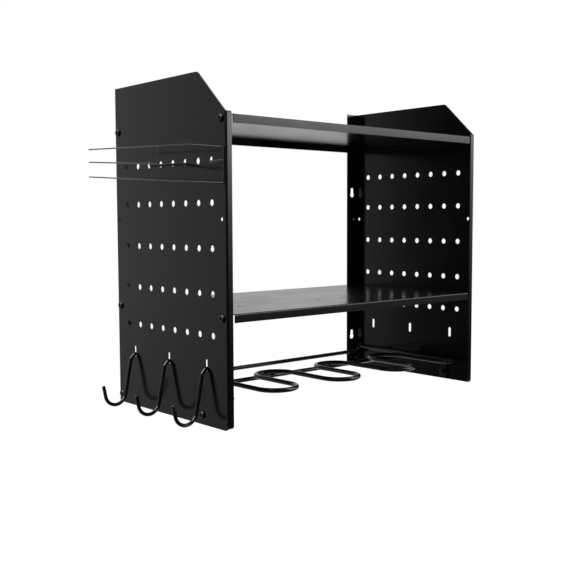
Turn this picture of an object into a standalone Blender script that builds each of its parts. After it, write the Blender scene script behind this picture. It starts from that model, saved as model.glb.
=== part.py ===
"""A wall mounted organizer for power tools and hand tools, in folded sheet steel and bent wire.

Frame: metres, +Z up, +X to the right for someone facing the wall, +Y towards the wall.
The origin lies on the wall plane, midway between the two upper keyholes, at the height
where the wall screws sit. The wall plane is y = 0 and the front faces -Y.
"""

import math

import bmesh
import bpy
from mathutils import Vector

# Whole organizer
WIDTH = 0.443
DEPTH = 0.232
HEIGHT = 0.402
TOP_ABOVE_SCREWS = 0.119

# Gap between touching pieces, and how far a cutter runs past what it cuts
TOUCH = 0.0003
OVERRUN = 0.002

# Side panels: one folded sheet each
PANEL_SHEET = 0.0015
PANEL_BEND = 0.0022
FRONT_FLANGE = 0.0084
REAR_FLANGE = 0.0215
CHAMFER_DEPTH = 0.052
CHAMFER_HEIGHT = 0.049
CHAMFER_BEND = 0.008
TOE_RADIUS = 0.006

# Peg holes in the side panels
PEG_HOLE = 0.0075
PEG_PITCH = 0.0254
PEG_EDGE_MARGIN = 0.0245
PEG_FIELD_DROP = 0.0395
PEG_INNER_ROW = 0.0513
PEG_OUTER_ROW = 0.0986

# Upright slots for the wrench hooks
HOOK_SLOT_WIDTH = 0.005
HOOK_SLOT_HEIGHT = 0.014
HOOK_SLOT_RISE = 0.063
HOOK_SLOT_PITCH = 3 * PEG_PITCH

# Keyholes in the rear flanges
KEYHOLE_NECK = 0.0065
KEYHOLE_HEAD = 0.0085
KEYHOLE_DROP = 0.0078
KEYHOLE_FOOT_RISE = 0.054

# Bolts and nuts
BOLT_THREAD = 0.004
BOLT_HOLE = 0.0046
BOLT_HEAD = 0.0094
BOLT_HEAD_HEIGHT = 0.0022
BOLT_DOME_SHARE = 0.42
BOLT_SOCKET = 0.0025
BOLT_SOCKET_DEPTH = 0.0013
SHELF_BOLT_LENGTH = 0.008
HANGER_BOLT_LENGTH = 0.010
NUT_FLATS = 0.007
NUT_HEIGHT = 0.0032
BOLT_FRONT_EDGE = 0.009
BOLT_BACK_EDGE = 0.0076

# Shelves: two like trays with folded lips
SHELF_SHEET = 0.0012
SHELF_BEND = 0.0016
SHELF_LIP = 0.010
SHELF_DROP = 0.0505
SHELF_STEP = 0.1103
LIP_END_GAP = 0.0025
FLOOR_HOLE = 0.005
FLOOR_HOLE_INSET = 0.065
FLOOR_HOLE_INNER = 0.022
FLOOR_HOLE_OUTER = 0.153

# Drill hanger: a waved rod on two straight rods and four tabs
HANGER_WIRE = 0.006
HANGER_RISE = 0.030
HANGER_SETBACK = 0.020
TOOL_SLOT_WIDTH = 0.050
TOOL_SLOT_DEPTH = 0.115
REAR_ROD_INSET = 0.014
TAB_SHEET = 0.0025
TAB_WIDTH = 0.014
TAB_TOP = 0.005
TAB_CORNER = 0.002
HANGER_BOLT_RISE = 0.011
HANGER_BOLT_SETBACK = 0.049
TAB_FOOT = 0.008

# Wrench hooks
HOOK_WIRE = 0.0045
HOOK_SEAT_GAP = 0.0010
HOOK_TAIL_LAP = 0.006
HOOK_TAIL_BEND = 0.003
HOOK_SHOULDER_OUT = 0.0012
HOOK_SHOULDER_RUN = 0.0051
HOOK_SHOULDER_FALL = 0.0053
HOOK_SHOULDER_BEND = 0.003
HOOK_LEG = 0.045
HOOK_LEG_LEAN = math.radians(11.2)
HOOK_CUP_RADIUS = 0.0145
HOOK_TIP = 0.0145
HOOK_TIP_LEAN = math.radians(11.5)

# Side rack of thin wire, for screwdrivers and pliers
RACK_WIRE = 0.0016
RACK_REACH = 0.0468
RACK_REAR_GAP = 0.0159
RACK_TOP_RISE = 0.0205
RACK_HEIGHT = 0.0335
RACK_TOP_FALL = 0.0075
RACK_BOTTOM_FALL = 0.013
RACK_MIDDLE_DROP = 0.0155
RACK_MIDDLE_SHARE = 0.72
RACK_BEND = 0.0015
RACK_PEG_WIRE = 0.003
RACK_PEG_RUN = 0.0222
RACK_PEG_LAP = 0.005

# Counts and shares
TOOL_SLOTS = 4
RACK_BACK_PEG = 2
HOLE_SIDES = 12
BEND_STEPS = 3
WIRE_STEPS = 4
WIRE_SIDE_STEPS = 2
SHARP_ANGLE = math.radians(32)

# Places that follow from the sizes above
HALF_WIDTH = WIDTH / 2
INNER_HALF = HALF_WIDTH - PANEL_SHEET
TOP = TOP_ABOVE_SCREWS
BOTTOM = TOP - HEIGHT
TOP_SHELF_Z = TOP - SHELF_DROP
MIDDLE_SHELF_Z = TOP_SHELF_Z - 2 * SHELF_STEP
PEG_MIDDLE_Z = TOP_SHELF_Z - SHELF_LIP - PEG_FIELD_DROP - PEG_OUTER_ROW
PEG_ROWS = (
    PEG_MIDDLE_Z + PEG_OUTER_ROW,
    PEG_MIDDLE_Z + PEG_INNER_ROW,
    PEG_MIDDLE_Z,
    PEG_MIDDLE_Z - PEG_INNER_ROW,
    PEG_MIDDLE_Z - PEG_OUTER_ROW,
)
HOOK_SLOT_FOOT = BOTTOM + HOOK_SLOT_RISE
KEYHOLE_SEATS = (0, BOTTOM + KEYHOLE_FOOT_RISE)
FRONT_BOLT_Y = -DEPTH + BOLT_FRONT_EDGE
BACK_BOLT_Y = -BOLT_BACK_EDGE
HANGER_BOLT_Y = -DEPTH + HANGER_BOLT_SETBACK
HANGER_BOLT_Z = BOTTOM + HANGER_BOLT_RISE
HANGER_Z = BOTTOM + HANGER_RISE
TAB_FACE = INNER_HALF - TOUCH - TAB_SHEET
SIDE_ROD_X = TAB_FACE - TOUCH - HANGER_WIRE / 2
CROSS_ROD_Z = HANGER_Z - HANGER_WIRE - TOUCH
SIDE_NAMES = {-1: "left", 1: "right"}

# Finishes: colour, roughness, metallic
PANEL_COAT = ((0.022, 0.022, 0.024), 0.38, 0.0)
SHELF_COAT = ((0.026, 0.027, 0.028), 0.36, 0.0)
WIRE_COAT = ((0.014, 0.014, 0.015), 0.30, 0.0)
RACK_COAT = ((0.030, 0.030, 0.032), 0.30, 0.0)
BLACK_OXIDE = ((0.018, 0.018, 0.019), 0.42, 0.7)


def clear_scene():
    """Remove every object, so that only the organizer is left."""
    for item in list(bpy.data.objects):
        bpy.data.objects.remove(item, do_unlink=True)


def coat(item, finish):
    """Give an object its own material from a finish."""
    colour, roughness, metallic = finish
    material = bpy.data.materials.new(item.name + "_finish")
    material.use_nodes = True
    shader = material.node_tree.nodes["Principled BSDF"]
    shader.inputs["Base Color"].default_value = (*colour, 1.0)
    shader.inputs["Roughness"].default_value = roughness
    shader.inputs["Metallic"].default_value = metallic
    material.diffuse_color = (*colour, 1.0)
    item.data = item.data.copy()
    item.data.materials.clear()
    item.data.materials.append(material)


def place(name, data, spot, parent, finish):
    """Make an object from mesh or curve data at a spot, under a parent."""
    item = bpy.data.objects.new(name, data)
    bpy.context.scene.collection.objects.link(item)
    item.location = Vector(spot) - parent.location
    item.parent = parent
    coat(item, finish)
    return item


def marker(name, parent=None, spot=(0, 0, 0)):
    """Make an empty that groups the pieces of one sub-assembly, at a spot on its joint's axis."""
    item = bpy.data.objects.new(name, None)
    bpy.context.scene.collection.objects.link(item)
    item.location = spot
    item.parent = parent
    return item


def rounded(corners, radii, steps, closed=False):
    """Return the points of a path whose corners are rounded, each with its own radius."""
    count = len(corners)
    points = []
    for index, (corner, radius) in enumerate(zip(corners, radii)):
        corner = Vector(corner)
        at_end = not closed and index in (0, count - 1)
        if at_end or radius == 0:
            points.append(corner)
            continue
        ahead = (corner - Vector(corners[index - 1])).normalized()
        beyond = (Vector(corners[(index + 1) % count]) - corner).normalized()
        turn = ahead.angle(beyond)
        across = (beyond - ahead * ahead.dot(beyond)).normalized()
        start = corner - ahead * radius * math.tan(turn / 2)
        centre = start + across * radius
        parts = max(2, round(steps * turn / (math.pi / 2)))
        for part in range(parts + 1):
            angle = turn * part / parts
            points.append(centre - across * radius * math.cos(angle) + ahead * radius * math.sin(angle))
    return points


def circle(centre_a, centre_b, radius, sides):
    """Return points round a circle, as pairs in the plane of an outline."""
    turns = [2 * math.pi * (index + 0.5) / sides for index in range(sides)]
    return [(centre_a + radius * math.cos(turn), centre_b + radius * math.sin(turn)) for turn in turns]


def arc(centre_a, centre_b, radius, start, end, parts):
    """Return points along an arc, as pairs in the plane of an outline."""
    turns = [start + (end - start) * index / parts for index in range(parts + 1)]
    return [(centre_a + radius * math.cos(turn), centre_b + radius * math.sin(turn)) for turn in turns]


def add_prism(shape, outline, axis, low, high):
    """Add a closed prism to a bmesh: an outline pushed along one axis from low to high."""
    def spot(pair, along):
        values = list(pair)
        values.insert(axis, along)
        return values

    floor = [shape.verts.new(spot(pair, low)) for pair in outline]
    roof = [shape.verts.new(spot(pair, high)) for pair in outline]
    faces = [shape.faces.new(floor), shape.faces.new(roof)]
    for index, vert in enumerate(floor):
        after = (index + 1) % len(floor)
        faces.append(shape.faces.new((vert, floor[after], roof[after], roof[index])))
    bmesh.ops.recalc_face_normals(shape, faces=faces)
    return faces


def box_outline(low_a, high_a, low_b, high_b):
    """Return the four corners of a rectangle."""
    return [(low_a, low_b), (high_a, low_b), (high_a, high_b), (low_a, high_b)]


def finish_mesh(shape, name):
    """Turn a bmesh into mesh data with smooth round faces and sharp edges."""
    mesh = bpy.data.meshes.new(name)
    shape.to_mesh(mesh)
    shape.free()
    mesh.shade_smooth()
    mesh.set_sharp_from_angle(angle=SHARP_ANGLE)
    return mesh


def cut(item, cutter_shape):
    """Cut a bmesh of closed solids out of an object with a Boolean."""
    mesh = finish_mesh(cutter_shape, item.name + "_cuts")
    cutter = bpy.data.objects.new(item.name + "_cutter", mesh)
    bpy.context.scene.collection.objects.link(cutter)
    cutter.location = item.location
    cutter.parent = item.parent
    cutter.hide_render = True
    cutter.display_type = "WIRE"
    boolean = item.modifiers.new("cuts", "BOOLEAN")
    boolean.operation = "DIFFERENCE"
    boolean.solver = "EXACT"
    boolean.object = cutter


def wire(name, points, diameter, parent, finish, origin=(0, 0, 0), closed=False):
    """Make a round wire along points, with its object's origin at a given spot."""
    curve = bpy.data.curves.new(name, "CURVE")
    curve.dimensions = "3D"
    curve.bevel_depth = diameter / 2
    curve.bevel_resolution = WIRE_SIDE_STEPS
    curve.use_fill_caps = not closed
    spline = curve.splines.new("POLY")
    spline.points.add(len(points) - 1)
    for target, point in zip(spline.points, points):
        local = Vector(point) - Vector(origin)
        target.co = (*local, 1.0)
    spline.use_cyclic_u = closed
    return place(name, curve, origin, parent, finish)


def peg_columns():
    """Return the places of the peg columns from front to back, centred on the depth."""
    steps = int((DEPTH - 2 * PEG_EDGE_MARGIN) / PEG_PITCH)
    first = (DEPTH + steps * PEG_PITCH) / 2
    return [-first + index * PEG_PITCH for index in range(steps + 1)]


def hook_slots():
    """Return the hook slots' places along the depth, from the wall to the front."""
    return [-DEPTH / 2 + HOOK_SLOT_PITCH * step for step in (1, 0, -1)]


def panel_profile(side):
    """Return a side panel's folded section seen from above."""
    outer = side * HALF_WIDTH
    inner = side * INNER_HALF
    rear_end = side * (HALF_WIDTH - REAR_FLANGE)
    front_end = side * (HALF_WIDTH - FRONT_FLANGE)
    inside_bend = PANEL_BEND - PANEL_SHEET
    corners = [
        (rear_end, 0, 0),
        (outer, 0, 0),
        (outer, -DEPTH, 0),
        (front_end, -DEPTH, 0),
        (front_end, -DEPTH + PANEL_SHEET, 0),
        (inner, -DEPTH + PANEL_SHEET, 0),
        (inner, -PANEL_SHEET, 0),
        (rear_end, -PANEL_SHEET, 0),
    ]
    radii = [0, PANEL_BEND, PANEL_BEND, 0, 0, inside_bend, inside_bend, 0]
    return [(point.x, point.y) for point in rounded(corners, radii, BEND_STEPS, closed=True)]


def chamfer_outline():
    """Return the cut that takes off a panel's top front corner, as depth and height."""
    slope = Vector((CHAMFER_DEPTH, CHAMFER_HEIGHT, 0)).normalized()
    low = Vector((-DEPTH, TOP - CHAMFER_HEIGHT, 0)) - slope * OVERRUN
    high = Vector((-DEPTH + CHAMFER_DEPTH, TOP, 0))
    along_top = high + Vector((CHAMFER_BEND, 0, 0))
    edge = rounded([low, high, along_top], [0, CHAMFER_BEND, 0], 2 * BEND_STEPS)[:-1]
    above = TOP + OVERRUN
    return [(point.x, point.y) for point in edge] + [(edge[-1].x, above), (low.x, above)]


def toe_outline():
    """Return the cut that rounds a panel's bottom front corner."""
    centre_y = -DEPTH + TOE_RADIUS
    centre_z = BOTTOM + TOE_RADIUS
    curve = arc(centre_y, centre_z, TOE_RADIUS, math.pi, 1.5 * math.pi, 2 * BEND_STEPS)
    beyond_y = -DEPTH - OVERRUN
    beyond_z = BOTTOM - OVERRUN
    return [(beyond_y, centre_z)] + curve + [(centre_y, beyond_z), (beyond_y, beyond_z)]


def slot_outline(centre_y, foot_z):
    """Return an upright slot with round ends."""
    radius = HOOK_SLOT_WIDTH / 2
    low = arc(centre_y, foot_z + radius, radius, math.pi, 2 * math.pi, 2 * BEND_STEPS)
    high = arc(centre_y, foot_z + HOOK_SLOT_HEIGHT - radius, radius, 0, math.pi, 2 * BEND_STEPS)
    return low + high


def keyhole_outline(centre_x, seat_z):
    """Return a keyhole: a narrow neck for the screw, over a round hole for its head."""
    neck = KEYHOLE_NECK / 2
    head = KEYHOLE_HEAD / 2
    shoulder = math.asin(neck / head)
    upper = arc(centre_x, seat_z, neck, 0, math.pi, 2 * BEND_STEPS)
    start = math.pi / 2 + shoulder
    end = 2.5 * math.pi - shoulder
    lower = arc(centre_x, seat_z - KEYHOLE_DROP, head, start, end, 3 * BEND_STEPS)
    return upper + lower


def bolt_places():
    """Return where the bolts go through a side panel, by name, as depth and height."""
    drop = SHELF_LIP / 2
    return {
        "top_shelf_front": (FRONT_BOLT_Y, TOP_SHELF_Z - drop),
        "top_shelf_back": (BACK_BOLT_Y, TOP_SHELF_Z - drop),
        "middle_shelf_front": (FRONT_BOLT_Y, MIDDLE_SHELF_Z - drop),
        "middle_shelf_back": (BACK_BOLT_Y, MIDDLE_SHELF_Z - drop),
        "hanger_front": (HANGER_BOLT_Y, HANGER_BOLT_Z),
        "hanger_back": (BACK_BOLT_Y, HANGER_BOLT_Z),
    }


def spare_bolt_places():
    """Return the empty holes for a shelf set halfway up."""
    height = TOP_SHELF_Z - SHELF_STEP - SHELF_LIP / 2
    return [(FRONT_BOLT_Y, height), (BACK_BOLT_Y, height)]


def build_side_panel(side, parent):
    """Build one folded side panel with its peg holes, slots, bolt holes and keyholes."""
    shape = bmesh.new()
    add_prism(shape, panel_profile(side), 2, BOTTOM, TOP)
    name = SIDE_NAMES[side] + "_side_panel"
    panel = place(name, finish_mesh(shape, name), (0, 0, 0), parent, PANEL_COAT)

    cuts = bmesh.new()
    reach = sorted((side * (HALF_WIDTH + OVERRUN), side * (INNER_HALF - OVERRUN)))
    whole = sorted((side * (HALF_WIDTH + OVERRUN), side * (HALF_WIDTH - FRONT_FLANGE - OVERRUN)))
    add_prism(cuts, chamfer_outline(), 0, *whole)
    add_prism(cuts, toe_outline(), 0, *whole)
    for column in peg_columns():
        for row in PEG_ROWS:
            add_prism(cuts, circle(column, row, PEG_HOLE / 2, HOLE_SIDES), 0, *reach)
    for depth in hook_slots():
        add_prism(cuts, slot_outline(depth, HOOK_SLOT_FOOT), 0, *reach)
    for depth, height in list(bolt_places().values()) + spare_bolt_places():
        add_prism(cuts, circle(depth, height, BOLT_HOLE / 2, HOLE_SIDES), 0, *reach)
    middle = side * (HALF_WIDTH - REAR_FLANGE / 2)
    for seat in KEYHOLE_SEATS:
        add_prism(cuts, keyhole_outline(middle, seat), 1, -PANEL_SHEET - OVERRUN, OVERRUN)
    cut(panel, cuts)
    return panel


def build_shelf(name, height, parent):
    """Build one shelf: a flat floor with its front, back and side lips folded down."""
    half = INNER_HALF - TOUCH
    back = -PANEL_SHEET - TOUCH
    low = height - SHELF_LIP
    shape = bmesh.new()
    add_prism(shape, box_outline(-half, half, -DEPTH, back), 2, low, height)
    middle = (low + height) / 2
    folds = [edge for edge in shape.edges if max(vert.co.z for vert in edge.verts) > middle]
    bmesh.ops.bevel(shape, geom=folds, offset=SHELF_BEND, segments=BEND_STEPS, profile=0.5, affect="EDGES")
    shelf = place(name, finish_mesh(shape, name), (0, 0, 0), parent, SHELF_COAT)

    cuts = bmesh.new()
    hollow = box_outline(-half + SHELF_SHEET, half - SHELF_SHEET, -DEPTH + SHELF_SHEET, back - SHELF_SHEET)
    add_prism(cuts, hollow, 2, low - OVERRUN, height - SHELF_SHEET)
    cut(shelf, cuts)

    trims = bmesh.new()
    lip_end = HALF_WIDTH - FRONT_FLANGE - LIP_END_GAP
    clear_y = -DEPTH + PANEL_SHEET + TOUCH
    for side in (-1, 1):
        across = sorted((side * lip_end, side * (half + OVERRUN)))
        notch = box_outline(*across, -DEPTH - OVERRUN, clear_y)
        add_prism(trims, notch, 2, low - OVERRUN, height + OVERRUN)
        reach = sorted((side * (half - SHELF_SHEET - OVERRUN), side * (half + OVERRUN)))
        for depth in (FRONT_BOLT_Y, BACK_BOLT_Y):
            hole = circle(depth, height - SHELF_LIP / 2, BOLT_HOLE / 2, HOLE_SIDES)
            add_prism(trims, hole, 0, *reach)
        for across_floor in (FLOOR_HOLE_INNER, FLOOR_HOLE_OUTER):
            hole = circle(side * across_floor, -DEPTH + FLOOR_HOLE_INSET, FLOOR_HOLE / 2, HOLE_SIDES)
            add_prism(trims, hole, 2, height - SHELF_SHEET - OVERRUN, height + OVERRUN)
    cut(shelf, trims)
    return shelf


def bolt_mesh(length):
    """Return a button head bolt: its seat at x = 0, its thread along +X, its head along -X."""
    shape = bmesh.new()
    thread = BOLT_THREAD / 2
    head = BOLT_HEAD / 2
    chamfer = BOLT_THREAD / 8
    rim = BOLT_HEAD_HEIGHT / 4
    crown = BOLT_HEAD_HEIGHT - rim
    profile = [(length, 0), (length, thread - chamfer), (length - chamfer, thread), (0, thread), (0, head)]
    dome = [(-rim - crown * math.sin(turn), head * (1 - BOLT_DOME_SHARE * (1 - math.cos(turn))))
            for turn in (math.pi / 6 * step for step in range(4))]
    profile += dome
    profile.append((-BOLT_HEAD_HEIGHT, 0))
    rings = []
    for along, radius in profile:
        if radius == 0:
            rings.append([shape.verts.new((along, 0, 0))])
            continue
        pairs = circle(0, 0, radius, HOLE_SIDES)
        rings.append([shape.verts.new((along, *pair)) for pair in pairs])
    for ring, after in zip(rings, rings[1:]):
        for index in range(HOLE_SIDES):
            beyond = (index + 1) % HOLE_SIDES
            corners = [ring[index % len(ring)], ring[beyond % len(ring)]]
            corners += [after[beyond % len(after)], after[index % len(after)]]
            shape.faces.new(list(dict.fromkeys(corners)))
    bmesh.ops.recalc_face_normals(shape, faces=shape.faces)
    return finish_mesh(shape, "bolt")


def socket_cutter():
    """Return the hexagon that is sunk in a bolt's head."""
    shape = bmesh.new()
    corner = BOLT_SOCKET / math.sqrt(3)
    hexagon = circle(0, 0, corner, 6)
    add_prism(shape, hexagon, 0, -BOLT_HEAD_HEIGHT - OVERRUN, -BOLT_HEAD_HEIGHT + BOLT_SOCKET_DEPTH)
    return shape


def nut_mesh():
    """Return a hexagon nut: its seat at x = 0, its body along +X, flats up and down."""
    shape = bmesh.new()
    corner = NUT_FLATS / math.sqrt(3)
    hexagon = [(corner * math.cos(turn), corner * math.sin(turn))
               for turn in (math.pi / 3 * step for step in range(6))]
    add_prism(shape, hexagon, 0, 0, NUT_HEIGHT)
    return finish_mesh(shape, "nut")


def nut_cutter():
    """Return the nut's threaded bore, as a plain hole that clears the thread."""
    shape = bmesh.new()
    bore = BOLT_THREAD / 2 + TOUCH
    add_prism(shape, circle(0, 0, bore, HOLE_SIDES), 0, -OVERRUN, NUT_HEIGHT + OVERRUN)
    return shape


def solved(mesh, cutter_shape):
    """Return a mesh with a cutter taken out of it, as plain mesh data."""
    blank = bpy.data.objects.new("blank", mesh)
    bpy.context.scene.collection.objects.link(blank)
    cut(blank, cutter_shape)
    cutter = blank.modifiers["cuts"].object
    graph = bpy.context.evaluated_depsgraph_get()
    result = bpy.data.meshes.new_from_object(blank.evaluated_get(graph))
    bpy.data.objects.remove(blank, do_unlink=True)
    bpy.data.objects.remove(cutter, do_unlink=True)
    return result


def build_fasteners(parent):
    """Put a bolt and a nut at each fastened place on both side panels."""
    bolts = {
        "shelf": solved(bolt_mesh(SHELF_BOLT_LENGTH), socket_cutter()),
        "hanger": solved(bolt_mesh(HANGER_BOLT_LENGTH), socket_cutter()),
    }
    nut = solved(nut_mesh(), nut_cutter())
    nut_seats = {
        "shelf": INNER_HALF - TOUCH - SHELF_SHEET - TOUCH,
        "hanger": TAB_FACE - TOUCH,
    }
    for side, side_name in SIDE_NAMES.items():
        turn = 0 if side < 0 else math.pi
        for place_name, (depth, height) in bolt_places().items():
            kind = "hanger" if place_name.startswith("hanger") else "shelf"
            ending = place_name + "_" + side_name
            head_seat = (side * (HALF_WIDTH + TOUCH), depth, height)
            bolt = place("bolt_" + ending, bolts[kind], head_seat, parent, BLACK_OXIDE)
            bolt.rotation_euler.z = turn
            nut_seat = (side * nut_seats[kind], depth, height)
            holder = place("nut_" + ending, nut, nut_seat, parent, BLACK_OXIDE)
            holder.rotation_euler.z = turn


def wave_corners():
    """Return the waved rod's corners and radii, from its left rear end to its right rear end."""
    pitch = 2 * INNER_HALF / TOOL_SLOTS
    slot_half = (TOOL_SLOT_WIDTH + HANGER_WIRE) / 2
    finger = pitch / 2 - slot_half
    front = -DEPTH + HANGER_SETBACK + HANGER_WIRE / 2
    closed_end = front + TOOL_SLOT_DEPTH
    rear = -PANEL_SHEET - TOUCH
    first = -INNER_HALF + pitch / 2
    end_bend = (SIDE_ROD_X + first - slot_half) / 2
    corners = [(-SIDE_ROD_X, rear), (-SIDE_ROD_X, front)]
    radii = [0, end_bend]
    for index in range(TOOL_SLOTS):
        centre = first + index * pitch
        left_bend = end_bend if index == 0 else finger
        right_bend = end_bend if index == TOOL_SLOTS - 1 else finger
        corners += [(centre - slot_half, front), (centre - slot_half, closed_end)]
        corners += [(centre + slot_half, closed_end), (centre + slot_half, front)]
        radii += [left_bend, slot_half, slot_half, right_bend]
    corners += [(SIDE_ROD_X, front), (SIDE_ROD_X, rear)]
    radii += [end_bend, 0]
    return [(across, depth, HANGER_Z) for across, depth in corners], radii


def build_tab(side, end, depth, width, parent):
    """Build one tab that joins the hanger's side run to a bolt in the side panel."""
    foot = HANGER_BOLT_Z - TAB_FOOT
    head = HANGER_Z + TAB_TOP
    corners = [(depth - width / 2, foot, 0), (depth + width / 2, foot, 0),
               (depth + width / 2, head, 0), (depth - width / 2, head, 0)]
    outline = [(point.x, point.y) for point in rounded(corners, [TAB_CORNER] * 4, BEND_STEPS, closed=True)]
    across = sorted((side * TAB_FACE, side * (TAB_FACE + TAB_SHEET)))
    shape = bmesh.new()
    add_prism(shape, outline, 0, *across)
    name = "hanger_tab_" + end + "_" + SIDE_NAMES[side]
    tab = place(name, finish_mesh(shape, name), (0, 0, 0), parent, WIRE_COAT)
    cuts = bmesh.new()
    hole = circle(depth, HANGER_BOLT_Z, BOLT_HOLE / 2, HOLE_SIDES)
    add_prism(cuts, hole, 0, across[0] - OVERRUN, across[1] + OVERRUN)
    cut(tab, cuts)


def build_hanger(parent):
    """Build the drill hanger: the waved rod, two straight rods under it and four tabs."""
    corners, radii = wave_corners()
    wire("hanger_wave_rod", rounded(corners, radii, WIRE_STEPS), HANGER_WIRE, parent, WIRE_COAT)
    closed_end = corners[3][1]
    half = TAB_FACE - TOUCH
    for name, depth in (("hanger_cross_rod", closed_end), ("hanger_rear_rod", -REAR_ROD_INSET)):
        ends = [(-half, depth, CROSS_ROD_Z), (0, depth, CROSS_ROD_Z), (half, depth, CROSS_ROD_Z)]
        wire(name, ends, HANGER_WIRE, parent, WIRE_COAT)
    back_width = 2 * (BOLT_BACK_EDGE - PANEL_SHEET - TOUCH)
    for side in (-1, 1):
        build_tab(side, "front", HANGER_BOLT_Y, TAB_WIDTH, parent)
        build_tab(side, "back", BACK_BOLT_Y, back_width, parent)


def hook_points(depth):
    """Return a wrench hook's path, from its tail behind the panel to its tip."""
    half = HOOK_WIRE / 2
    axis_z = HOOK_SLOT_FOOT + HOOK_SEAT_GAP + half
    tail_x = -INNER_HALF + TOUCH + half
    shoulder_x = -HALF_WIDTH - HOOK_SHOULDER_OUT
    leg_x = shoulder_x - HOOK_SHOULDER_RUN
    leg_z = axis_z - HOOK_SHOULDER_FALL
    fall = Vector((-math.sin(HOOK_LEG_LEAN), -math.cos(HOOK_LEG_LEAN)))
    aside = Vector((-math.cos(HOOK_LEG_LEAN), math.sin(HOOK_LEG_LEAN)))
    leg_end = Vector((leg_x, leg_z)) + fall * HOOK_LEG
    centre = leg_end + aside * HOOK_CUP_RADIUS

    tail_top = HOOK_SLOT_FOOT + HOOK_SLOT_HEIGHT + HOOK_TAIL_LAP
    corners = [(tail_x, depth, tail_top), (tail_x, depth, axis_z), (shoulder_x, depth, axis_z),
               (leg_x, depth, leg_z), (leg_end.x, depth, leg_end.y)]
    radii = [0, HOOK_TAIL_BEND, HOOK_SHOULDER_BEND, HOOK_SHOULDER_BEND, 0]
    points = rounded(corners, radii, WIRE_STEPS)

    sweep = math.pi - HOOK_LEG_LEAN - HOOK_TIP_LEAN
    parts = 3 * WIRE_STEPS
    for part in range(1, parts + 1):
        angle = sweep * part / parts
        spot = centre - aside * HOOK_CUP_RADIUS * math.cos(angle) + fall * HOOK_CUP_RADIUS * math.sin(angle)
        points.append(Vector((spot.x, depth, spot.y)))
    rise = Vector((-math.sin(HOOK_TIP_LEAN), 0, math.cos(HOOK_TIP_LEAN)))
    points.append(points[-1] + rise * HOOK_TIP)
    return points


def build_wrench_hooks(parent):
    """Build the three hooks that swing in the left panel's slots, each about its slot's foot."""
    for name, depth in zip(("back", "middle", "front"), hook_slots()):
        pivot = (-HALF_WIDTH + PANEL_SHEET / 2, depth, HOOK_SLOT_FOOT)
        wire("wrench_hook_" + name, hook_points(depth), HOOK_WIRE, parent, WIRE_COAT, origin=pivot)


def rack_seat():
    """Return the height of the rack's pegs, which rest in the first row of peg holes."""
    return PEG_ROWS[0] - PEG_HOLE / 2 + TOUCH + RACK_PEG_WIRE / 2


def rack_peg(name, column, run_end, parent):
    """Build a peg that hooks the rack into a hole of the first row and runs on to a given point."""
    half = RACK_PEG_WIRE / 2
    seat_z = rack_seat()
    inside_x = -INNER_HALF + TOUCH + half
    outside_x = -HALF_WIDTH - TOUCH - half
    tail_top = PEG_ROWS[0] + PEG_HOLE / 2 + RACK_PEG_LAP
    corners = [(inside_x, column, tail_top), (inside_x, column, seat_z), (outside_x, column, seat_z), run_end]
    bend = (inside_x - outside_x) / 2
    wire(name, rounded(corners, [0, bend, bend, 0], WIRE_STEPS), RACK_PEG_WIRE, parent, RACK_COAT)


def build_side_rack(parent):
    """Build the thin wire rack on the left panel: its frame, its middle wire and two pegs."""
    half = RACK_WIRE / 2
    near = -HALF_WIDTH - TOUCH - half
    far = -HALF_WIDTH - RACK_REACH
    columns = peg_columns()
    rear = -RACK_REAR_GAP
    front = columns[0] - RACK_PEG_RUN - TOUCH - half
    top = PEG_ROWS[0] + RACK_TOP_RISE
    bottom = top - RACK_HEIGHT
    top_front = top - RACK_TOP_FALL
    bottom_front = bottom - RACK_BOTTOM_FALL
    path = [(far, rear, top), (far, front, top_front), (near, front, top_front),
            (near, front, bottom_front), (far, front, bottom_front), (far, rear, bottom)]
    bends = [0] + [RACK_BEND] * (len(path) - 2) + [0]
    wire("rack_frame", rounded(path, bends, WIRE_STEPS), RACK_WIRE, parent, RACK_COAT)

    middle = top - RACK_MIDDLE_DROP
    turn = rear + (front - rear) * RACK_MIDDLE_SHARE
    middle_turn = middle - RACK_BOTTOM_FALL * RACK_MIDDLE_SHARE
    under_top = top - RACK_TOP_FALL * RACK_MIDDLE_SHARE - RACK_WIRE - TOUCH
    path = [(far, rear, middle), (far, turn, middle_turn), (far, turn, under_top)]
    wire("rack_middle_wire", rounded(path, [0, RACK_BEND, 0], WIRE_STEPS), RACK_WIRE, parent, RACK_COAT)

    column = columns[RACK_BACK_PEG]
    middle_fall = RACK_BOTTOM_FALL * (rear - column) / (rear - front)
    rest = middle - middle_fall - half - TOUCH - RACK_PEG_WIRE / 2
    outside_x = -HALF_WIDTH - TOUCH - RACK_PEG_WIRE / 2
    rack_peg("rack_peg_back", column, (far - half, column, rest), parent)
    rack_peg("rack_peg_front", columns[0], (outside_x, columns[0] - RACK_PEG_RUN, rack_seat()), parent)


def build_organizer():
    """Build every piece of the organizer."""
    clear_scene()
    root = marker("organizer")
    for side in (-1, 1):
        build_side_panel(side, root)
    shelves = marker("shelves", root)
    build_shelf("top_shelf", TOP_SHELF_Z, shelves)
    build_shelf("middle_shelf", MIDDLE_SHELF_Z, shelves)
    build_hanger(marker("drill_hanger", root))
    build_wrench_hooks(marker("wrench_hooks", root))
    build_side_rack(marker("side_rack", root, (-HALF_WIDTH, -DEPTH / 2, rack_seat())))
    build_fasteners(marker("fasteners", root))
    bpy.context.view_layer.update()


build_organizer()
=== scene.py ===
"""Looks of a wall mounted organizer in folded sheet steel and bent wire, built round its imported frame.

Metres, +Z up, as in the frame: the wall plane is y = 0, the front faces -Y, and the origin lies on the
wall, midway between the two upper keyholes.
"""

import logging
import math
from dataclasses import dataclass
from enum import Enum

import bmesh
import bpy
from mathutils import Matrix, Vector


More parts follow.
